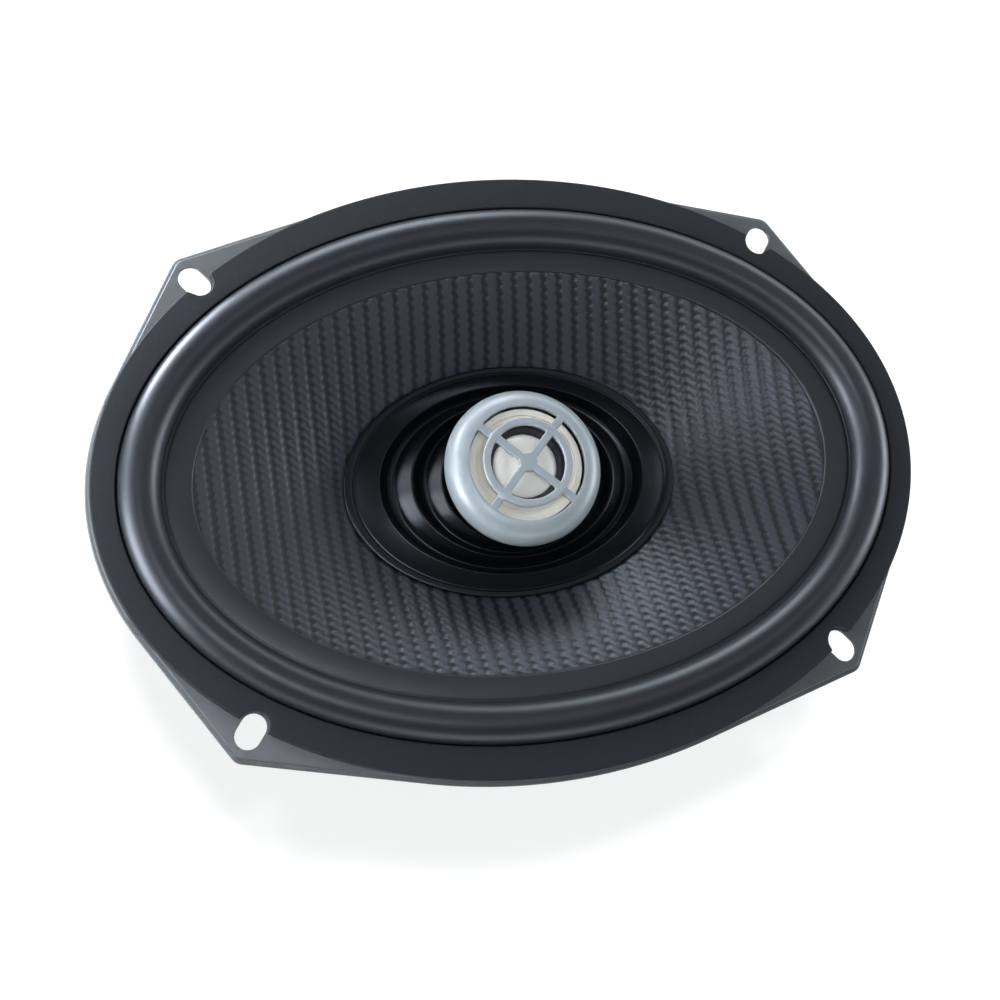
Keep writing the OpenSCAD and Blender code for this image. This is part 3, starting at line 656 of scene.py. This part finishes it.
def basket():
    """The bowl with its windows, the flange with its lip and slots, and the hole in the bowl's floor."""
    outer = np.array(frame_path())
    inner = offset(outer, -SHEET)
    step = np.hypot((np.diff(outer[:, 0]) + np.diff(outer[:, 1])) / 2, np.diff(outer[:, 2]))
    run = np.concatenate([[0], np.cumsum(step)])

    def at(path, angle, s):
        a, b, z = (np.interp(s, run, path[:, i]) for i in range(3))
        t = np.radians(angle)
        return np.column_stack([a * np.cos(t), b * np.sin(t), z])

    def run_at(z):
        k = np.argmax(outer[:, 2] < z)
        return np.interp(z, [outer[k, 2], outer[k - 1, 2]], [run[k], run[k - 1]])

    def ring(a, b, z):
        t = np.radians(angles)
        return np.column_stack([a * np.cos(t), b * np.sin(t), np.full(AROUND, float(z))])

    cell_top, cell_bottom = (run_at(z) for z in CELL_Z)
    window = [run_at(z) for z in WINDOW_Z]
    angles = np.arange(AROUND) * 360 / AROUND + CELL_HALF
    shell = Shell()
    above = [s for s in run if s < cell_top - 0.3] + [cell_top]
    below = [cell_bottom] + [s for s in run if s > cell_bottom + 0.3]
    for path in (outer, inner):
        for levels in (above, below):
            shell.rings([at(path, angles, np.full(AROUND, s)) for s in levels])
    # Windows: both faces of the sheet, joined round the window's edge
    for k in range(CELLS):
        mid = 2 * CELL_HALF * k
        low = mid - WINDOW_HALF + (BOARD_ROOM if mid == 300 else 0)
        high = mid + WINDOW_HALF - (BOARD_ROOM if mid == 240 else 0)
        grid = window_cell(mid, low, high, (cell_top, cell_bottom), window)
        for path in (outer, inner):
            shell.rings([at(path, g[:, 0], g[:, 1]) for g in grid])
        shell.rings([at(path, grid[-1][:, 0], grid[-1][:, 1]) for path in (outer, inner)])
    # Hole in the floor
    shell.rings([at(path, angles, np.full(AROUND, run[-1])) for path in (outer, inner)])
    # Top: the bowl's faces run into the flange's two faces
    in_a, in_b = inner[0, 0], inner[0, 1]
    top_edge = soften([inner[0], (in_a, in_b, FLANGE_H), (in_a + 2, in_b + 2, FLANGE_H)], 0.5, False)[:-1]
    low_edge = soften([(BOWL_A, BOWL_B, 0.9), (BOWL_A, BOWL_B, FLANGE_H - SHEET),
                       (BOWL_A + 2, BOWL_B + 2, FLANGE_H - SHEET)], 0.4, False)[:-1]
    shell.rings([ring(*p) for p in top_edge])
    shell.rings([ring(*p) for p in low_edge])
    # Rim: from the face of the tabs, down over the lip, to the underside
    rim = [(1.62, FLANGE_H), (1.46, 2.46), (1.34, 2.34), (LIP_W, 2.15), (LIP_W, 1.22), (LIP_W - 0.1, SHEET),
           (0.5, SHEET), (0.22, 1.02), (0.06, 0.84), (0, 0.6), (0, 0.46), (0.08, 0.22), (0.26, 0.05),
           (0.5, 0), (2.1, 0), (2.32, 0.08), (2.4, 0.3), (2.4, 1.2), (2.6, 1.4)]
    rings = []
    for d, z in rim:
        flat = outline(d, 1.15 * max(0.0, 1 - d / LIP_W))
        rings.append(np.column_stack([flat, np.full(len(flat), z)]))
    shell.rings(rings)
    shell.add(*plate_face(rings[0], ring(*top_edge[-1]), FLANGE_H))
    shell.add(*plate_face(rings[-1], ring(*low_edge[-1]), FLANGE_H - SHEET))
    for c in CORNERS:
        flat = slot_outline(*c)
        shell.rings([np.column_stack([flat, np.full(len(flat), z)]) for z in (FLANGE_H, FLANGE_H - SHEET)])
    return shell.build("pressed_frame", 0.01)


def on_board():
    """Matrix from the terminal board's own frame to the speaker's."""
    return Matrix.Translation(Vector(BOARD_AT) * MM) @ Matrix.Rotation(math.radians(BOARD_TURN), 4, "X")


def block(name, low, high):
    (x0, y0, z0), (x1, y1, z1) = low, high
    return prism(name, [(x0, y0), (x1, y0), (x1, y1), (x0, y1)], z0, z1)


def cut(obj, cutter):
    """Takes the cutter's space out of obj and removes the cutter."""
    m = obj.modifiers.new("cut", "BOOLEAN")
    m.operation, m.solver, m.object = "DIFFERENCE", "EXACT", cutter
    baked(obj)
    bpy.data.objects.remove(cutter)
    return obj


def board_opening():
    return placed(block("opening", (-11, -9, -9), (11, -1, 9)), on_board())


pressed = cut(basket(), board_opening())
pad = placed(prism("pad", rounded_rect(28, 20, 2.0), -1.6, -0.1), on_board())
pressed = joined("pressed_frame_sheet", [pressed, cut(pad, board_opening())])
weighted(pressed, 0.22, 55)
piece(pressed, "frame", "frame_coat", "basket")


# -------- gasket
def gasket():
    """Pressed fibre ring, notched round the mounting slots, stepped over the surround's edge."""
    count = 1440
    t = np.arange(count) * TAU / count
    d = np.column_stack([np.cos(t), np.sin(t)])

    def radius(a, b):
        return a * b / np.hypot(b * d[:, 0], a * d[:, 1])

    reach = radius(FLANGE_A - LIP_W, FLANGE_B - LIP_W)
    for c in CORNERS:
        loop = slot_outline(*c, margin=0.5)
        for p, q in zip(loop, np.roll(loop, -1, 0)):
            e = q - p
            det = d[:, 0] * -e[1] + d[:, 1] * e[0]
            det = np.where(np.abs(det) < 1e-9, 1e-9, det)
            along = (p[0] * -e[1] + p[1] * e[0]) / det
            share = (d[:, 0] * p[1] - d[:, 1] * p[0]) / det
            hit = (share >= 0) & (share <= 1) & (along > 0)
            reach = np.where(hit, np.minimum(reach, along), reach)
    inner = radius(ROLL_A + ROLL_R + 0.1, ROLL_B + ROLL_R + 0.1)
    step = np.minimum(radius(FOOT_A + 0.1, FOOT_B + 0.1), reach - 0.6)

    def ring(r, z):
        return np.column_stack([r * d[:, 0], r * d[:, 1], np.full(count, z)])

    top, under = 5.8, FOOT_Z + 0.06
    rings = [ring(reach - 0.12, FLANGE_H), ring(reach, 2.66), ring(reach, 5.2), ring(reach - 0.1, 5.5),
             ring(reach - 0.28, 5.7), ring(reach - 0.6, top), ring((reach + inner) / 2, top),
             ring(inner + 0.5, top), ring(inner + 0.18, 5.68), ring(inner, 5.45), ring(inner, under),
             ring(step, under), ring(step, FLANGE_H)]
    return Shell().rings(rings, True).build("gasket_ring", 1e-4)


piece(weighted(gasket()), "frame", "gasket", "gasket")


# -------- cone, surround and cap
def family(x, y, first, last):
    """Share of the way from the first oval to the smaller last one (half axes) at which a point lies."""
    (a0, b0), (a1, b1) = first, last
    low, high = np.full(x.shape, -0.6), np.full(x.shape, 1.6)
    for _ in range(40):
        mid = (low + high) / 2
        out = (x / (a0 + (a1 - a0) * mid)) ** 2 + (y / (b0 + (b1 - b0) * mid)) ** 2 < 1
        low, high = np.where(out, mid, low), np.where(out, high, mid)
    return low


def surround():
    """Half roll between a foot under the gasket and a flat on the cone's edge."""
    arc = [(math.cos(math.pi * k / 28), math.sin(math.pi * k / 28)) for k in range(29)]

    def roll_at(shift, z):
        return ROLL_A + shift, ROLL_B + shift, z

    def weave_at(shift, z):
        return WEAVE_A + shift, WEAVE_B + shift, z

    under = ROLL_R - RUBBER
    top = [(FOOT_A, FOOT_B, FOOT_Z), roll_at(ROLL_R + 0.9, FOOT_Z), roll_at(ROLL_R + 0.15, FOOT_Z + 0.12)]
    top += [roll_at(ROLL_R * c, ROLL_Z + ROLL_R * s) for c, s in arc]
    top += [roll_at(-ROLL_R - 0.1, 3.5), roll_at(-ROLL_R - 0.5, 3.72), roll_at(-ROLL_R - 1.2, 3.8)]
    top += [weave_at(0.7, 3.8), weave_at(0.25, 3.72), weave_at(0, 3.5), weave_at(0, WEAVE_Z)]
    low = [roll_at(0.2 - ROLL_R, 3.0)]
    low += [roll_at(under * c, ROLL_Z + under * s) for c, s in arc[::-1]]
    low += [roll_at(under, FLANGE_H), (FOOT_A, FOOT_B, FLANGE_H)]
    return lofted("surround_roll", top + low, 360)


def roll_weights(obj):
    """How far the surround's points follow the cone: fully inside the roll, and not at all outside it."""
    reach, half = 20.0, ROLL_R - 0.3
    x, y, _ = points_mm(obj)
    share = family(x, y, (ROLL_A + reach, ROLL_B + reach), (ROLL_A - reach, ROLL_B - reach))
    outward = reach - 2 * reach * share
    return 1 - smoothstep((outward + half) / (2 * half))


roll = surround()
flexing(roll, "surround_rubber", "surround", roll_weights(roll))


def dish_z(t):
    """Height of the cone's dish at the share t of the way from the weave's edge to the cap's."""
    return WEAVE_Z + (CAP_Z - WEAVE_Z) * (0.8 * t + 0.2 * t * t)


COLUMN, DASH = 4.36, 2.35  # pitch of the woven columns and of the crossings along them
TOOTH, SLANT = 0.15, 0.95  # how far the edges of a column step in and out, and its crossings lean
TOW_HALF, TOW_EDGE = 1.95, 1.15  # half width of a column and how much of that is its rounded edge
TOW_H, CROSSING_H, FILLING_H = 0.16, 0.075, 0.05


def weave_height(x, y):
    """Relief of the woven columns, low tows with toothed edges and slanted crossings: height and cover."""
    tooth = 2 * np.abs(y / DASH - np.floor(y / DASH + 0.5))
    shifted = x / COLUMN + TOOTH * (tooth - 0.5)
    near = (shifted - np.round(shifted)) * COLUMN
    cover = smoothstep((TOW_HALF - np.abs(near)) / TOW_EDGE)
    crossing = np.cos(TAU * (y + SLANT * near) / DASH)
    filling = np.cos(TAU * (y / DASH + 0.5))
    height = TOW_H * (cover - 0.6) + CROSSING_H * crossing * cover + FILLING_H * filling * (1 - cover)
    return height, cover


def cone():
    """Woven face with its relief in the mesh, on a plain back that runs down to the neck."""
    dx, dy = COLUMN / 12, DASH / 6
    nx, ny = int((WEAVE_A + 2.2) / dx), int((WEAVE_B + 2.5) / dy)
    x, y = np.meshgrid(np.arange(-nx, nx + 1) * dx, np.arange(-ny, ny + 1) * dy, indexing="ij")
    t = family(x, y, (WEAVE_A, WEAVE_B), (CAP_A, CAP_B))
    fade = smoothstep((t + 0.012) / 0.012) * (0.35 + 0.65 * smoothstep((1.0 - t) / 0.03))
    relief, cover = weave_height(x, y)
    z = np.where(t > 0, dish_z(np.clip(t, 0, 2)), WEAVE_Z) - 0.06 + relief * fade
    z = np.where(t > 0, z, WEAVE_Z - 0.08)
    rows, cols = x.shape
    f = quads(rows, cols, False, False)
    keep = ((t > -0.03) & (t < 1.035)).reshape(-1)
    f = f[keep[f].all(1)]
    used = np.unique(f)
    index = np.full(rows * cols, -1)
    index[used] = np.arange(len(used))
    points = np.stack([x, y, z], -1).reshape(-1, 3)[used]
    face = Shell().add(points, index[f]).build("woven_face", 1e-4)
    if sum(p.normal.z for p in list(face.data.polygons)[:200:10]) < 0:
        face.data.flip_normals()
    # Stores the tows' cover as the point attribute relief, from which the cone's material paints shade into
    # the gaps between the columns.
    painted_gap_shade = face.data.attributes.new("relief", "FLOAT", "POINT")
    painted_gap_shade.data.foreach_set("value", cover.reshape(-1)[used].astype(np.float32))
    solid = face.modifiers.new("thickness", "SOLIDIFY")
    solid.thickness, solid.offset = 0.3 * MM, -1
    baked(face)
    path = [(ROLL_A - ROLL_R, ROLL_B - ROLL_R, 3.0), (WEAVE_A, WEAVE_B, WEAVE_Z - 0.02)]
    for k in range(1, 17):
        s = k / 16
        path.append((WEAVE_A + (CAP_A - WEAVE_A) * s, WEAVE_B + (CAP_B - WEAVE_B) * s, dish_z(s)))
    for k in range(1, 9):
        s = k / 8
        down = 0.75 * s + 0.25 * s * s
        path.append((CAP_A + (NECK_R - CAP_A) * s, CAP_B + (NECK_R - CAP_B) * s,
                     CAP_Z + (NECK_Z - CAP_Z) * down))
    upper, lower = offset(path, 0.34), offset(path, 0.8)
    back = lofted("cone_back", [tuple(p) for p in upper] + [tuple(p) for p in lower[::-1]])
    return joined("woven_cone", [face, back])


piece(cone(), "cone_assembly", "cone_weave", "cone")


def centre_cap():
    """Lip, groove and two corrugations, down to a skirt round the tweeter's post."""
    lip_z = -11.25
    lip = [(CAP_A, CAP_B, lip_z - 0.28), (CAP_A - 0.1, CAP_B - 0.1, lip_z - 0.08),
           (CAP_A - 0.35, CAP_B - 0.35, lip_z), (46.2, 32.2, lip_z), (45.95, 32.0, lip_z - 0.1),
           (45.75, 31.85, lip_z - 0.34), (45.4, 31.6, lip_z - 0.38)]
    folds = [(44.9, 31.3, lip_z - 0.2), (38.6, 27.4, -9.3), (36.2, 26.3, -12.6), (34.3, 25.3, -13.3),
             (29.2, 22.65, -9.3), (27.0, 21.6, -12.6), (25.2, 20.7, -13.3), (20.5, 18.65, -9.6),
             (18.4, 17.8, -12.4), (17.2, 17.1, -15.5), (16.8, 16.8, -21)]
    crest, trough = 1.6, 0.9
    radii = [0, 0, trough, crest, crest, trough, crest, crest, trough, 2.0, 2.0, 0]
    top = lip + soften(lip[-1:] + folds, radii, False, 5)[1:]
    low = offset(top, 0.7)
    return lofted("ribbed_cap", [tuple(p) for p in top] + [tuple(p) for p in low[::-1]], 320)


piece(centre_cap(), "cone_assembly", "cap_plastic", "centre_cap")


SPIDER_R0, SPIDER_R1, WAVES, WAVE_H = 18.0, 38.4, 4, 1.5  # the spider's waves: radii, number and height


def spider():
    """Corrugated disc with a collar on the voice coil former and a flat foot in the basket."""
    z0, thick, steps = -35.6, 0.5, 64
    path = [(16, z0), (16, z0 + 2.5), (16.6, z0 + 2.5), (16.6, z0 + thick)]
    line = [(SPIDER_R0 + (SPIDER_R1 - SPIDER_R0) * k / steps, z0 + WAVE_H * math.sin(TAU * WAVES * k / steps))
            for k in range(steps + 1)]
    path += [(r, z + thick) for r, z in line] + [(46, z0 + thick), (46, z0)] + line[::-1]
    return lofted("spider_disc", as_oval(path), 240)


disc = spider()
flexing(disc, "spider_cloth", "spider", 1 - smoothstep((radii_mm(disc) - 17.5) / 20.5))

# The right lead's route from its eyelet on the cone to the terminal board
TINSEL = [(9, -25, -21.5), (9, -26, -24), (9, -30, -26.5), (9, -37, -27), (9, -43, -22.5), (8.6, -49, -17.5),
          (8, -55, -16), (7.2, -59.5, -18.2), (7, -61.3, -20.1)]
leads = joined("flexible_leads", [
    tube("lead", smooth_line([(side * x, y, z) for x, y, z in TINSEL], 24), 0.46, 18, 3.4 * side, 6, 0.14)
    for side in (-1, 1)])
flexing(leads, "tinsel", "tinsel_leads", smoothstep((points_mm(leads)[1] + 60) / 32))


# -------- tweeter
RING_R, RING_Z = 16.2, 1.7  # centre of the trim's rounded section
RING_OUT, RING_IN = (5.8, 6.2), (4.3, 4.7)  # half axes of that section, outside and inside
GUARD_Z0, GUARD_Z1 = 7.2, 8.7  # back and front of the guard
DOME_R, DOME_H, DOME_TOP = 9.0, 2.4, 6.3
EDGE_R, EDGE_Z = 10.2, 3.9  # centre of the half roll round the dome


def bezel():
    """Ring and guard as one moulding: its members are fused by a fine remesh."""
    low, steps = math.radians(-63), 40
    angles = [low + (math.pi / 2 - low) * k / steps for k in range(steps + 1)]
    out, inn = ([(RING_R + w * math.cos(t), RING_Z + h * math.sin(t)) for t in angles]
                for w, h in (RING_OUT, RING_IN))
    parts = [lofted("ring", as_oval(out + inn[::-1]), TURNED),
             lathe("hoop", [(10.4, GUARD_Z0), (12.6, GUARD_Z0), (12.6, GUARD_Z1), (10.4, GUARD_Z1)], 0.5),
             lathe("hub", [(0, GUARD_Z0), (2.6, GUARD_Z0), (2.6, GUARD_Z1), (0, GUARD_Z1)], [0, 0.4, 0.5, 0])]
    for k in range(4):
        turn = Matrix.Rotation(math.radians(45 + 90 * k), 4, "Z")
        parts.append(placed(block("bar", (1.5, -1.1, GUARD_Z0 + 0.05), (11.4, 1.1, GUARD_Z1 - 0.05)), turn))
        parts.append(placed(block("foot", (12.0, -1.1, 6.6), (16.9, 1.1, 7.9)), turn))
    obj = joined("tweeter_trim", parts)
    fuse = obj.modifiers.new("fuse", "REMESH")
    fuse.mode, fuse.voxel_size, fuse.adaptivity, fuse.use_smooth_shade = "VOXEL", 0.2 * MM, 0.0, True
    ease = obj.modifiers.new("ease", "SMOOTH")
    ease.factor, ease.iterations = 0.6, 5
    return baked(obj)


def dome():
    """Shallow cap of a sphere."""
    sphere = (DOME_R ** 2 + DOME_H ** 2) / (2 * DOME_H)
    radii = [DOME_R * k / 24 for k in range(25)]
    rise = [(r, DOME_TOP - sphere + math.sqrt(sphere ** 2 - r ** 2)) for r in radii]
    return lofted("tweeter_dome_shell", as_oval(rise + [(r, z - 0.3) for r, z in rise[::-1]]), TURNED)


def suspension():
    """Half roll between the dome's edge and the faceplate."""
    arch = [math.pi * k / 16 for k in range(17)]

    def half_roll(r):
        return [(EDGE_R - r * math.cos(t), EDGE_Z + r * math.sin(t)) for t in arch]

    path = [(8.8, 3.8), (8.8, 3.88)] + half_roll(1.1) + [(11.5, EDGE_Z), (11.5, 3.65), (11.05, 3.65)]
    path += half_roll(0.85)[::-1] + [(9.35, 3.8)]
    return lofted("dome_suspension", as_oval(path), TURNED)


def turned(name, slot, node, path, radius, **settings):
    """Turned piece that rides on the frame."""
    piece(weighted(lathe(name, path, radius, **settings)), "frame", slot, node)


trim = bezel()
trim.data.polygons.foreach_set("use_smooth", [True] * len(trim.data.polygons))
piece(trim, "frame", "bezel_satin", "tweeter_bezel")

turned("waveguide_ring", "faceplate_pearl", "tweeter_faceplate",
       [(10.2, 2.4), (15.9, 2.4), (15.9, 5.5), (14.2, 5.2), (14.2, 4.5), (12.9, 4.5), (12.9, 4.9),
        (11.6, 4.5), (11.6, 3.65), (10.2, 3.65)], 0.14)
piece(dome(), "dome_assembly", "dome_pearl", "tweeter_dome")

edge = suspension()
flexing(edge, "suspension_cloth", "tweeter_suspension", 1 - smoothstep((radii_mm(edge) - 9.1) / 2.1))

turned("tweeter_cup", "housing_plastic", "tweeter_housing",
       [(0, -9), (7, -9), (8, -5.9), (17, -4.9), (18, -3.9), (18, -3.2), (12.9, -3.2), (12.9, 2.4),
        (11.6, 2.4), (11.6, -3.2), (0, -3.2)], [0] + [0.4] * 9 + [0])


# -------- motor, seen from the back and the sides
boot = lathe("magnet_boot", [(0, -80), (44, -80), (47.9, -80), (47.9, -56), (45, -56), (45, -77), (0, -77)],
             [0, 0, 3.2, 0.9, 0.5, 0.5, 0])
cut(boot, block("channel", (-1, -46.8, -78.6), (1, -44, -50)))
piece(weighted(boot), "frame", "cover_rubber", "magnet_cover")
turned("front_plate", "plated_steel", "top_plate",
       [(17.45, -53), (43, -53), (43, -46), (17.45, -46)], [0.3, 0.8, 0.8, 0.3])
turned("ferrite_ring", "ferrite", "magnet", [(24, -71), (45, -71), (45, -53), (24, -53)], 1.0, steps=1)

# The wire's route: down the tweeter's post, across behind the magnet and up a channel to the terminal board
LEAD = [(0, 0, -6.2), (0, 0, -40), (0, 0, -75), (0, -0.6, -77.3), (0, -3, -77.8), (0, -24, -77.8),
        (0, -43.5, -77.8), (0, -45.6, -77), (0, -46, -74), (0, -46, -62), (0, -46.6, -54), (0, -51, -44),
        (0, -56, -36), (0, -60.5, -28.5), (0, -62, -24.1)]
piece(tube("tweeter_wire", smooth_line(LEAD, 8), 0.6, 18), "frame", "lead_insulation", "tweeter_lead")


# -------- terminal board
# Sizes in the board's own frame: thickness, row of rivets, tab and capacitor
BOARD_T, ROW_Y = 1.6, -5.2
TAB_T, TAB_FOOT, TAB_H = 0.8, 7.0, 9.5
CAN_Y, CAN_Z, WIRE_X = 4.6, BOARD_T + 4, 11.1

card = placed(prism("terminal_card", rounded_rect(28, 20, 1.5), 0, BOARD_T, 0.2), on_board())
piece(card, "frame", "board", "terminal_board")


def tab(name, x, width):
    """Tab terminal: a foot under a rivet and a blade with a hole, bent up from one strip."""
    y0, y1, top = ROW_Y - TAB_FOOT / 2, ROW_Y + TAB_FOOT / 2, BOARD_T + TAB_H
    path = soften([(y1, BOARD_T), (y0, BOARD_T), (y0, top), (y0 + TAB_T, top), (y0 + TAB_T, BOARD_T + TAB_T),
                   (y1, BOARD_T + TAB_T)], [0.1, 1.0, 0.3, 0.3, 0.35, 0.1])
    points = [(x + side * width / 2, y, z) for side in (-1, 1) for y, z in path]
    obj = Shell().add(points, prism_faces(len(path))).build(name, 1e-4)
    hole = prism("hole", rounded_rect(1.5, 1.5, 0.74, 6), -2, 2)
    blade = Matrix.Translation(Vector((x, y0, BOARD_T + 6.6)) * MM)
    cut(obj, placed(hole, blade @ Matrix.Rotation(math.pi / 2, 4, "X")))
    return weighted(placed(obj, on_board()), 0.12, 50)


def capacitor():
    """Sleeved can across the board, with a wire bent down at each end. Returns it and its faces of sleeve."""
    can = lathe("can", [(0, -8), (4, -8), (4, -6.8), (3.8, -6.4), (4, -6.0), (4, 8), (0, 8)],
                [0, 0.7, 0.3, 0.3, 0.3, 0.7, 0], 96)
    placed(can, Matrix.Rotation(math.pi / 2, 4, "Y"))
    placed(can, Matrix.Translation(Vector((0, CAN_Y, CAN_Z)) * MM))
    sleeve = len(can.data.polygons)
    bend = [(7.7, CAN_Z), (10, CAN_Z), (10.8, CAN_Z - 0.4), (WIRE_X, CAN_Z - 1.2), (WIRE_X, BOARD_T - 0.2)]
    wires = [tube("wire", [(side * x, CAN_Y, z) for x, z in bend], 0.32, 12) for side in (-1, 1)]
    return placed(joined("crossover_capacitor", [can] + wires), on_board()), sleeve


piece(tab("wide_tab", -7, 4.8), "frame", "terminal_metal", "positive_terminal")
piece(tab("narrow_tab", 7, 2.8), "frame", "terminal_metal", "negative_terminal")

cell, sleeve_faces = capacitor()
piece(cell, "frame", "capacitor_sleeve", "capacitor")
cell.data.materials.append(FINISH["terminal_metal"])
for polygon in cell.data.polygons:
    polygon.material_index = int(polygon.index >= sleeve_faces)
weighted(cell)


# -------- CAD nodes that stay
KEPT = {"former": ["voice_coil_former"], "copper_winding": ["voice_coil", "tweeter_coil"],
        "brass": ["lead_eyelets"], "rivet_metal": ["plate_rivets", "terminal_rivets"],
        "plated_steel": ["yoke", "post_nut", "tweeter_pot", "tweeter_pole_washer"],
        "post_metal": ["tweeter_post"], "nickel": ["tweeter_magnet"]}
for slot, nodes in KEPT.items():
    for node in nodes:
        coated(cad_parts[node], slot)


# -------- stage, light and camera
# name, azimuth, elevation, distance, size, watts
SOFTBOXES = [
    ("key", 133, -1, 0.32, 0.12, 1.5), ("rim", 141, 30, 0.3, 0.15, 0.7), ("sharp", 153, 21, 0.9, 0.3, 1.4),
    ("left", 186, 14, 0.45, 0.22, 2.6), ("left_high", 168, 42, 2.0, 1.0, 6.5),
    ("key_low", 135, 8, 2.0, 1.0, 6), ("back", 90, 12, 2.0, 1.1, 25), ("back_right", 45, 8, 2.0, 1.0, 5),
    ("right", 0, 12, 2.0, 1.1, 24), ("right_high", 25, 55, 2.0, 1.0, 2.5), ("front", 270, 8, 2.0, 1.0, 3.5),
    ("overhead", 215, 80, 1.2, 0.3, 3.4), ("table", 108, 74, 1.5, 0.3, 26)
]
LAMP_TINT, WALL_TINT = (0.88, 0.98, 1.14), (0.88, 0.97, 1.0)
# sine of the elevation on the surrounding walls and the brightness there
WALLS = [(0.0, 2.0), (0.22, 2.0), (0.4, 0.14), (0.85, 0.16), (1.0, 0.4)]
WALL_LIGHT = 2.0
FLOOR_HALF, FLOOR_GLOW = 4000, 0.78  # half its side in millimetres, and the light it gives off itself
CAMERA = {"azimuth": -49.96, "elevation": 71.79, "roll": -42.05, "distance": 404.8,
          "target": (-7.5, -7.9, 0.0), "lens": 52.92}


def floor():
    """Pale floor under the magnet's boot; a glow of its own keeps it even."""
    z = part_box("magnet_cover")[0].z / MM
    flat = [(x * FLOOR_HALF, y * FLOOR_HALF, z) for x, y in ((-1, -1), (1, -1), (1, 1), (-1, 1))]
    obj = Shell().add(flat, [[0, 1, 2, 3]]).build("floor", 1e-4, False)
    if obj.data.polygons[0].normal.z < 0:
        obj.data.flip_normals()
    pale = Finish("floor", (0.35, 0.35, 0.35, 1), 0.85, Specular_IOR_Level=0.1, Emission_Color=(1, 1, 1, 1),
                  Emission_Strength=FLOOR_GLOW)
    obj.data.materials.append(pale.mat)
    return obj


def lamp(name, azimuth, elevation, distance, size, watts):
    """Soft square lamp aimed at the speaker. Azimuth 0 is +X and 90 is +Y, in degrees."""
    light = bpy.data.lights.new(name, "AREA")
    light.shape, light.size, light.energy = "SQUARE", size, watts
    light.color = (1, 1, 1) if name == "table" else LAMP_TINT
    obj = linked(name, light)
    a, e = math.radians(azimuth), math.radians(elevation)
    away = Vector((math.cos(a) * math.cos(e), math.sin(a) * math.cos(e), math.sin(e)))
    obj.location = away * distance
    obj.rotation_mode = "QUATERNION"
    obj.rotation_quaternion = away.to_track_quat("Z", "Y")
    return obj


def walls():
    """Bright low walls under a dim ceiling, from the world's shader."""
    world = bpy.data.worlds.new("studio")
    bpy.context.scene.world = world
    world.use_nodes = True
    nodes, link = world.node_tree.nodes, world.node_tree.links.new
    split = nodes.new("ShaderNodeSeparateXYZ")
    link(nodes.new("ShaderNodeTexCoord").outputs["Generated"], split.inputs[0])
    ramp = nodes.new("ShaderNodeValToRGB")
    stops = ramp.color_ramp.elements
    while len(stops) < len(WALLS):
        stops.new(0.5)
    for stop, (place, level) in zip(stops, WALLS):
        stop.position = place
        stop.color = [level * c / WALL_LIGHT for c in WALL_TINT] + [1]
    link(split.outputs["Z"], ramp.inputs["Fac"])
    link(ramp.outputs["Color"], nodes["Background"].inputs["Color"])
    nodes["Background"].inputs["Strength"].default_value = WALL_LIGHT


def lights():
    """The table lamp lights only the floor, the rim lamp the frame and gasket, the rest all but the floor."""
    table = floor()
    table_only = bpy.data.collections.new("lit_floor")
    table_only.objects.link(table)
    all_but_table = bpy.data.collections.new("lit_speaker")
    all_but_table.objects.link(table)
    all_but_table.collection_objects[0].light_linking.link_state = "EXCLUDE"
    flange_only = bpy.data.collections.new("lit_flange")
    for name in ("pressed_frame_sheet", "gasket_ring"):
        flange_only.objects.link(bpy.data.objects[name])
    lit = {"table": table_only, "rim": flange_only}
    for settings in SOFTBOXES:
        lamp(*settings).light_linking.receiver_collection = lit.get(settings[0], all_but_table)


def camera():
    """Camera at the still's viewing angle; its distance and target are in millimetres."""
    a, e, roll = (math.radians(CAMERA[k]) for k in ("azimuth", "elevation", "roll"))
    back = Vector((math.sin(a) * math.cos(e), -math.cos(a) * math.cos(e), math.sin(e)))
    level = Vector((math.cos(a), math.sin(a), 0))
    up = back.cross(level) * math.cos(roll) + level * math.sin(roll)
    right = up.cross(back)
    data = bpy.data.cameras.new("camera")
    data.lens, data.sensor_width, data.clip_start = CAMERA["lens"], 36, 0.01
    obj = linked("camera", data)
    place = Matrix((right, up, back)).transposed().to_4x4()
    place.translation = (Vector(CAMERA["target"]) + back * CAMERA["distance"]) * MM
    obj.matrix_world = place
    bpy.context.scene.camera = obj


lights()
walls()
camera()
bpy.context.scene.view_settings.view_transform = "Standard"
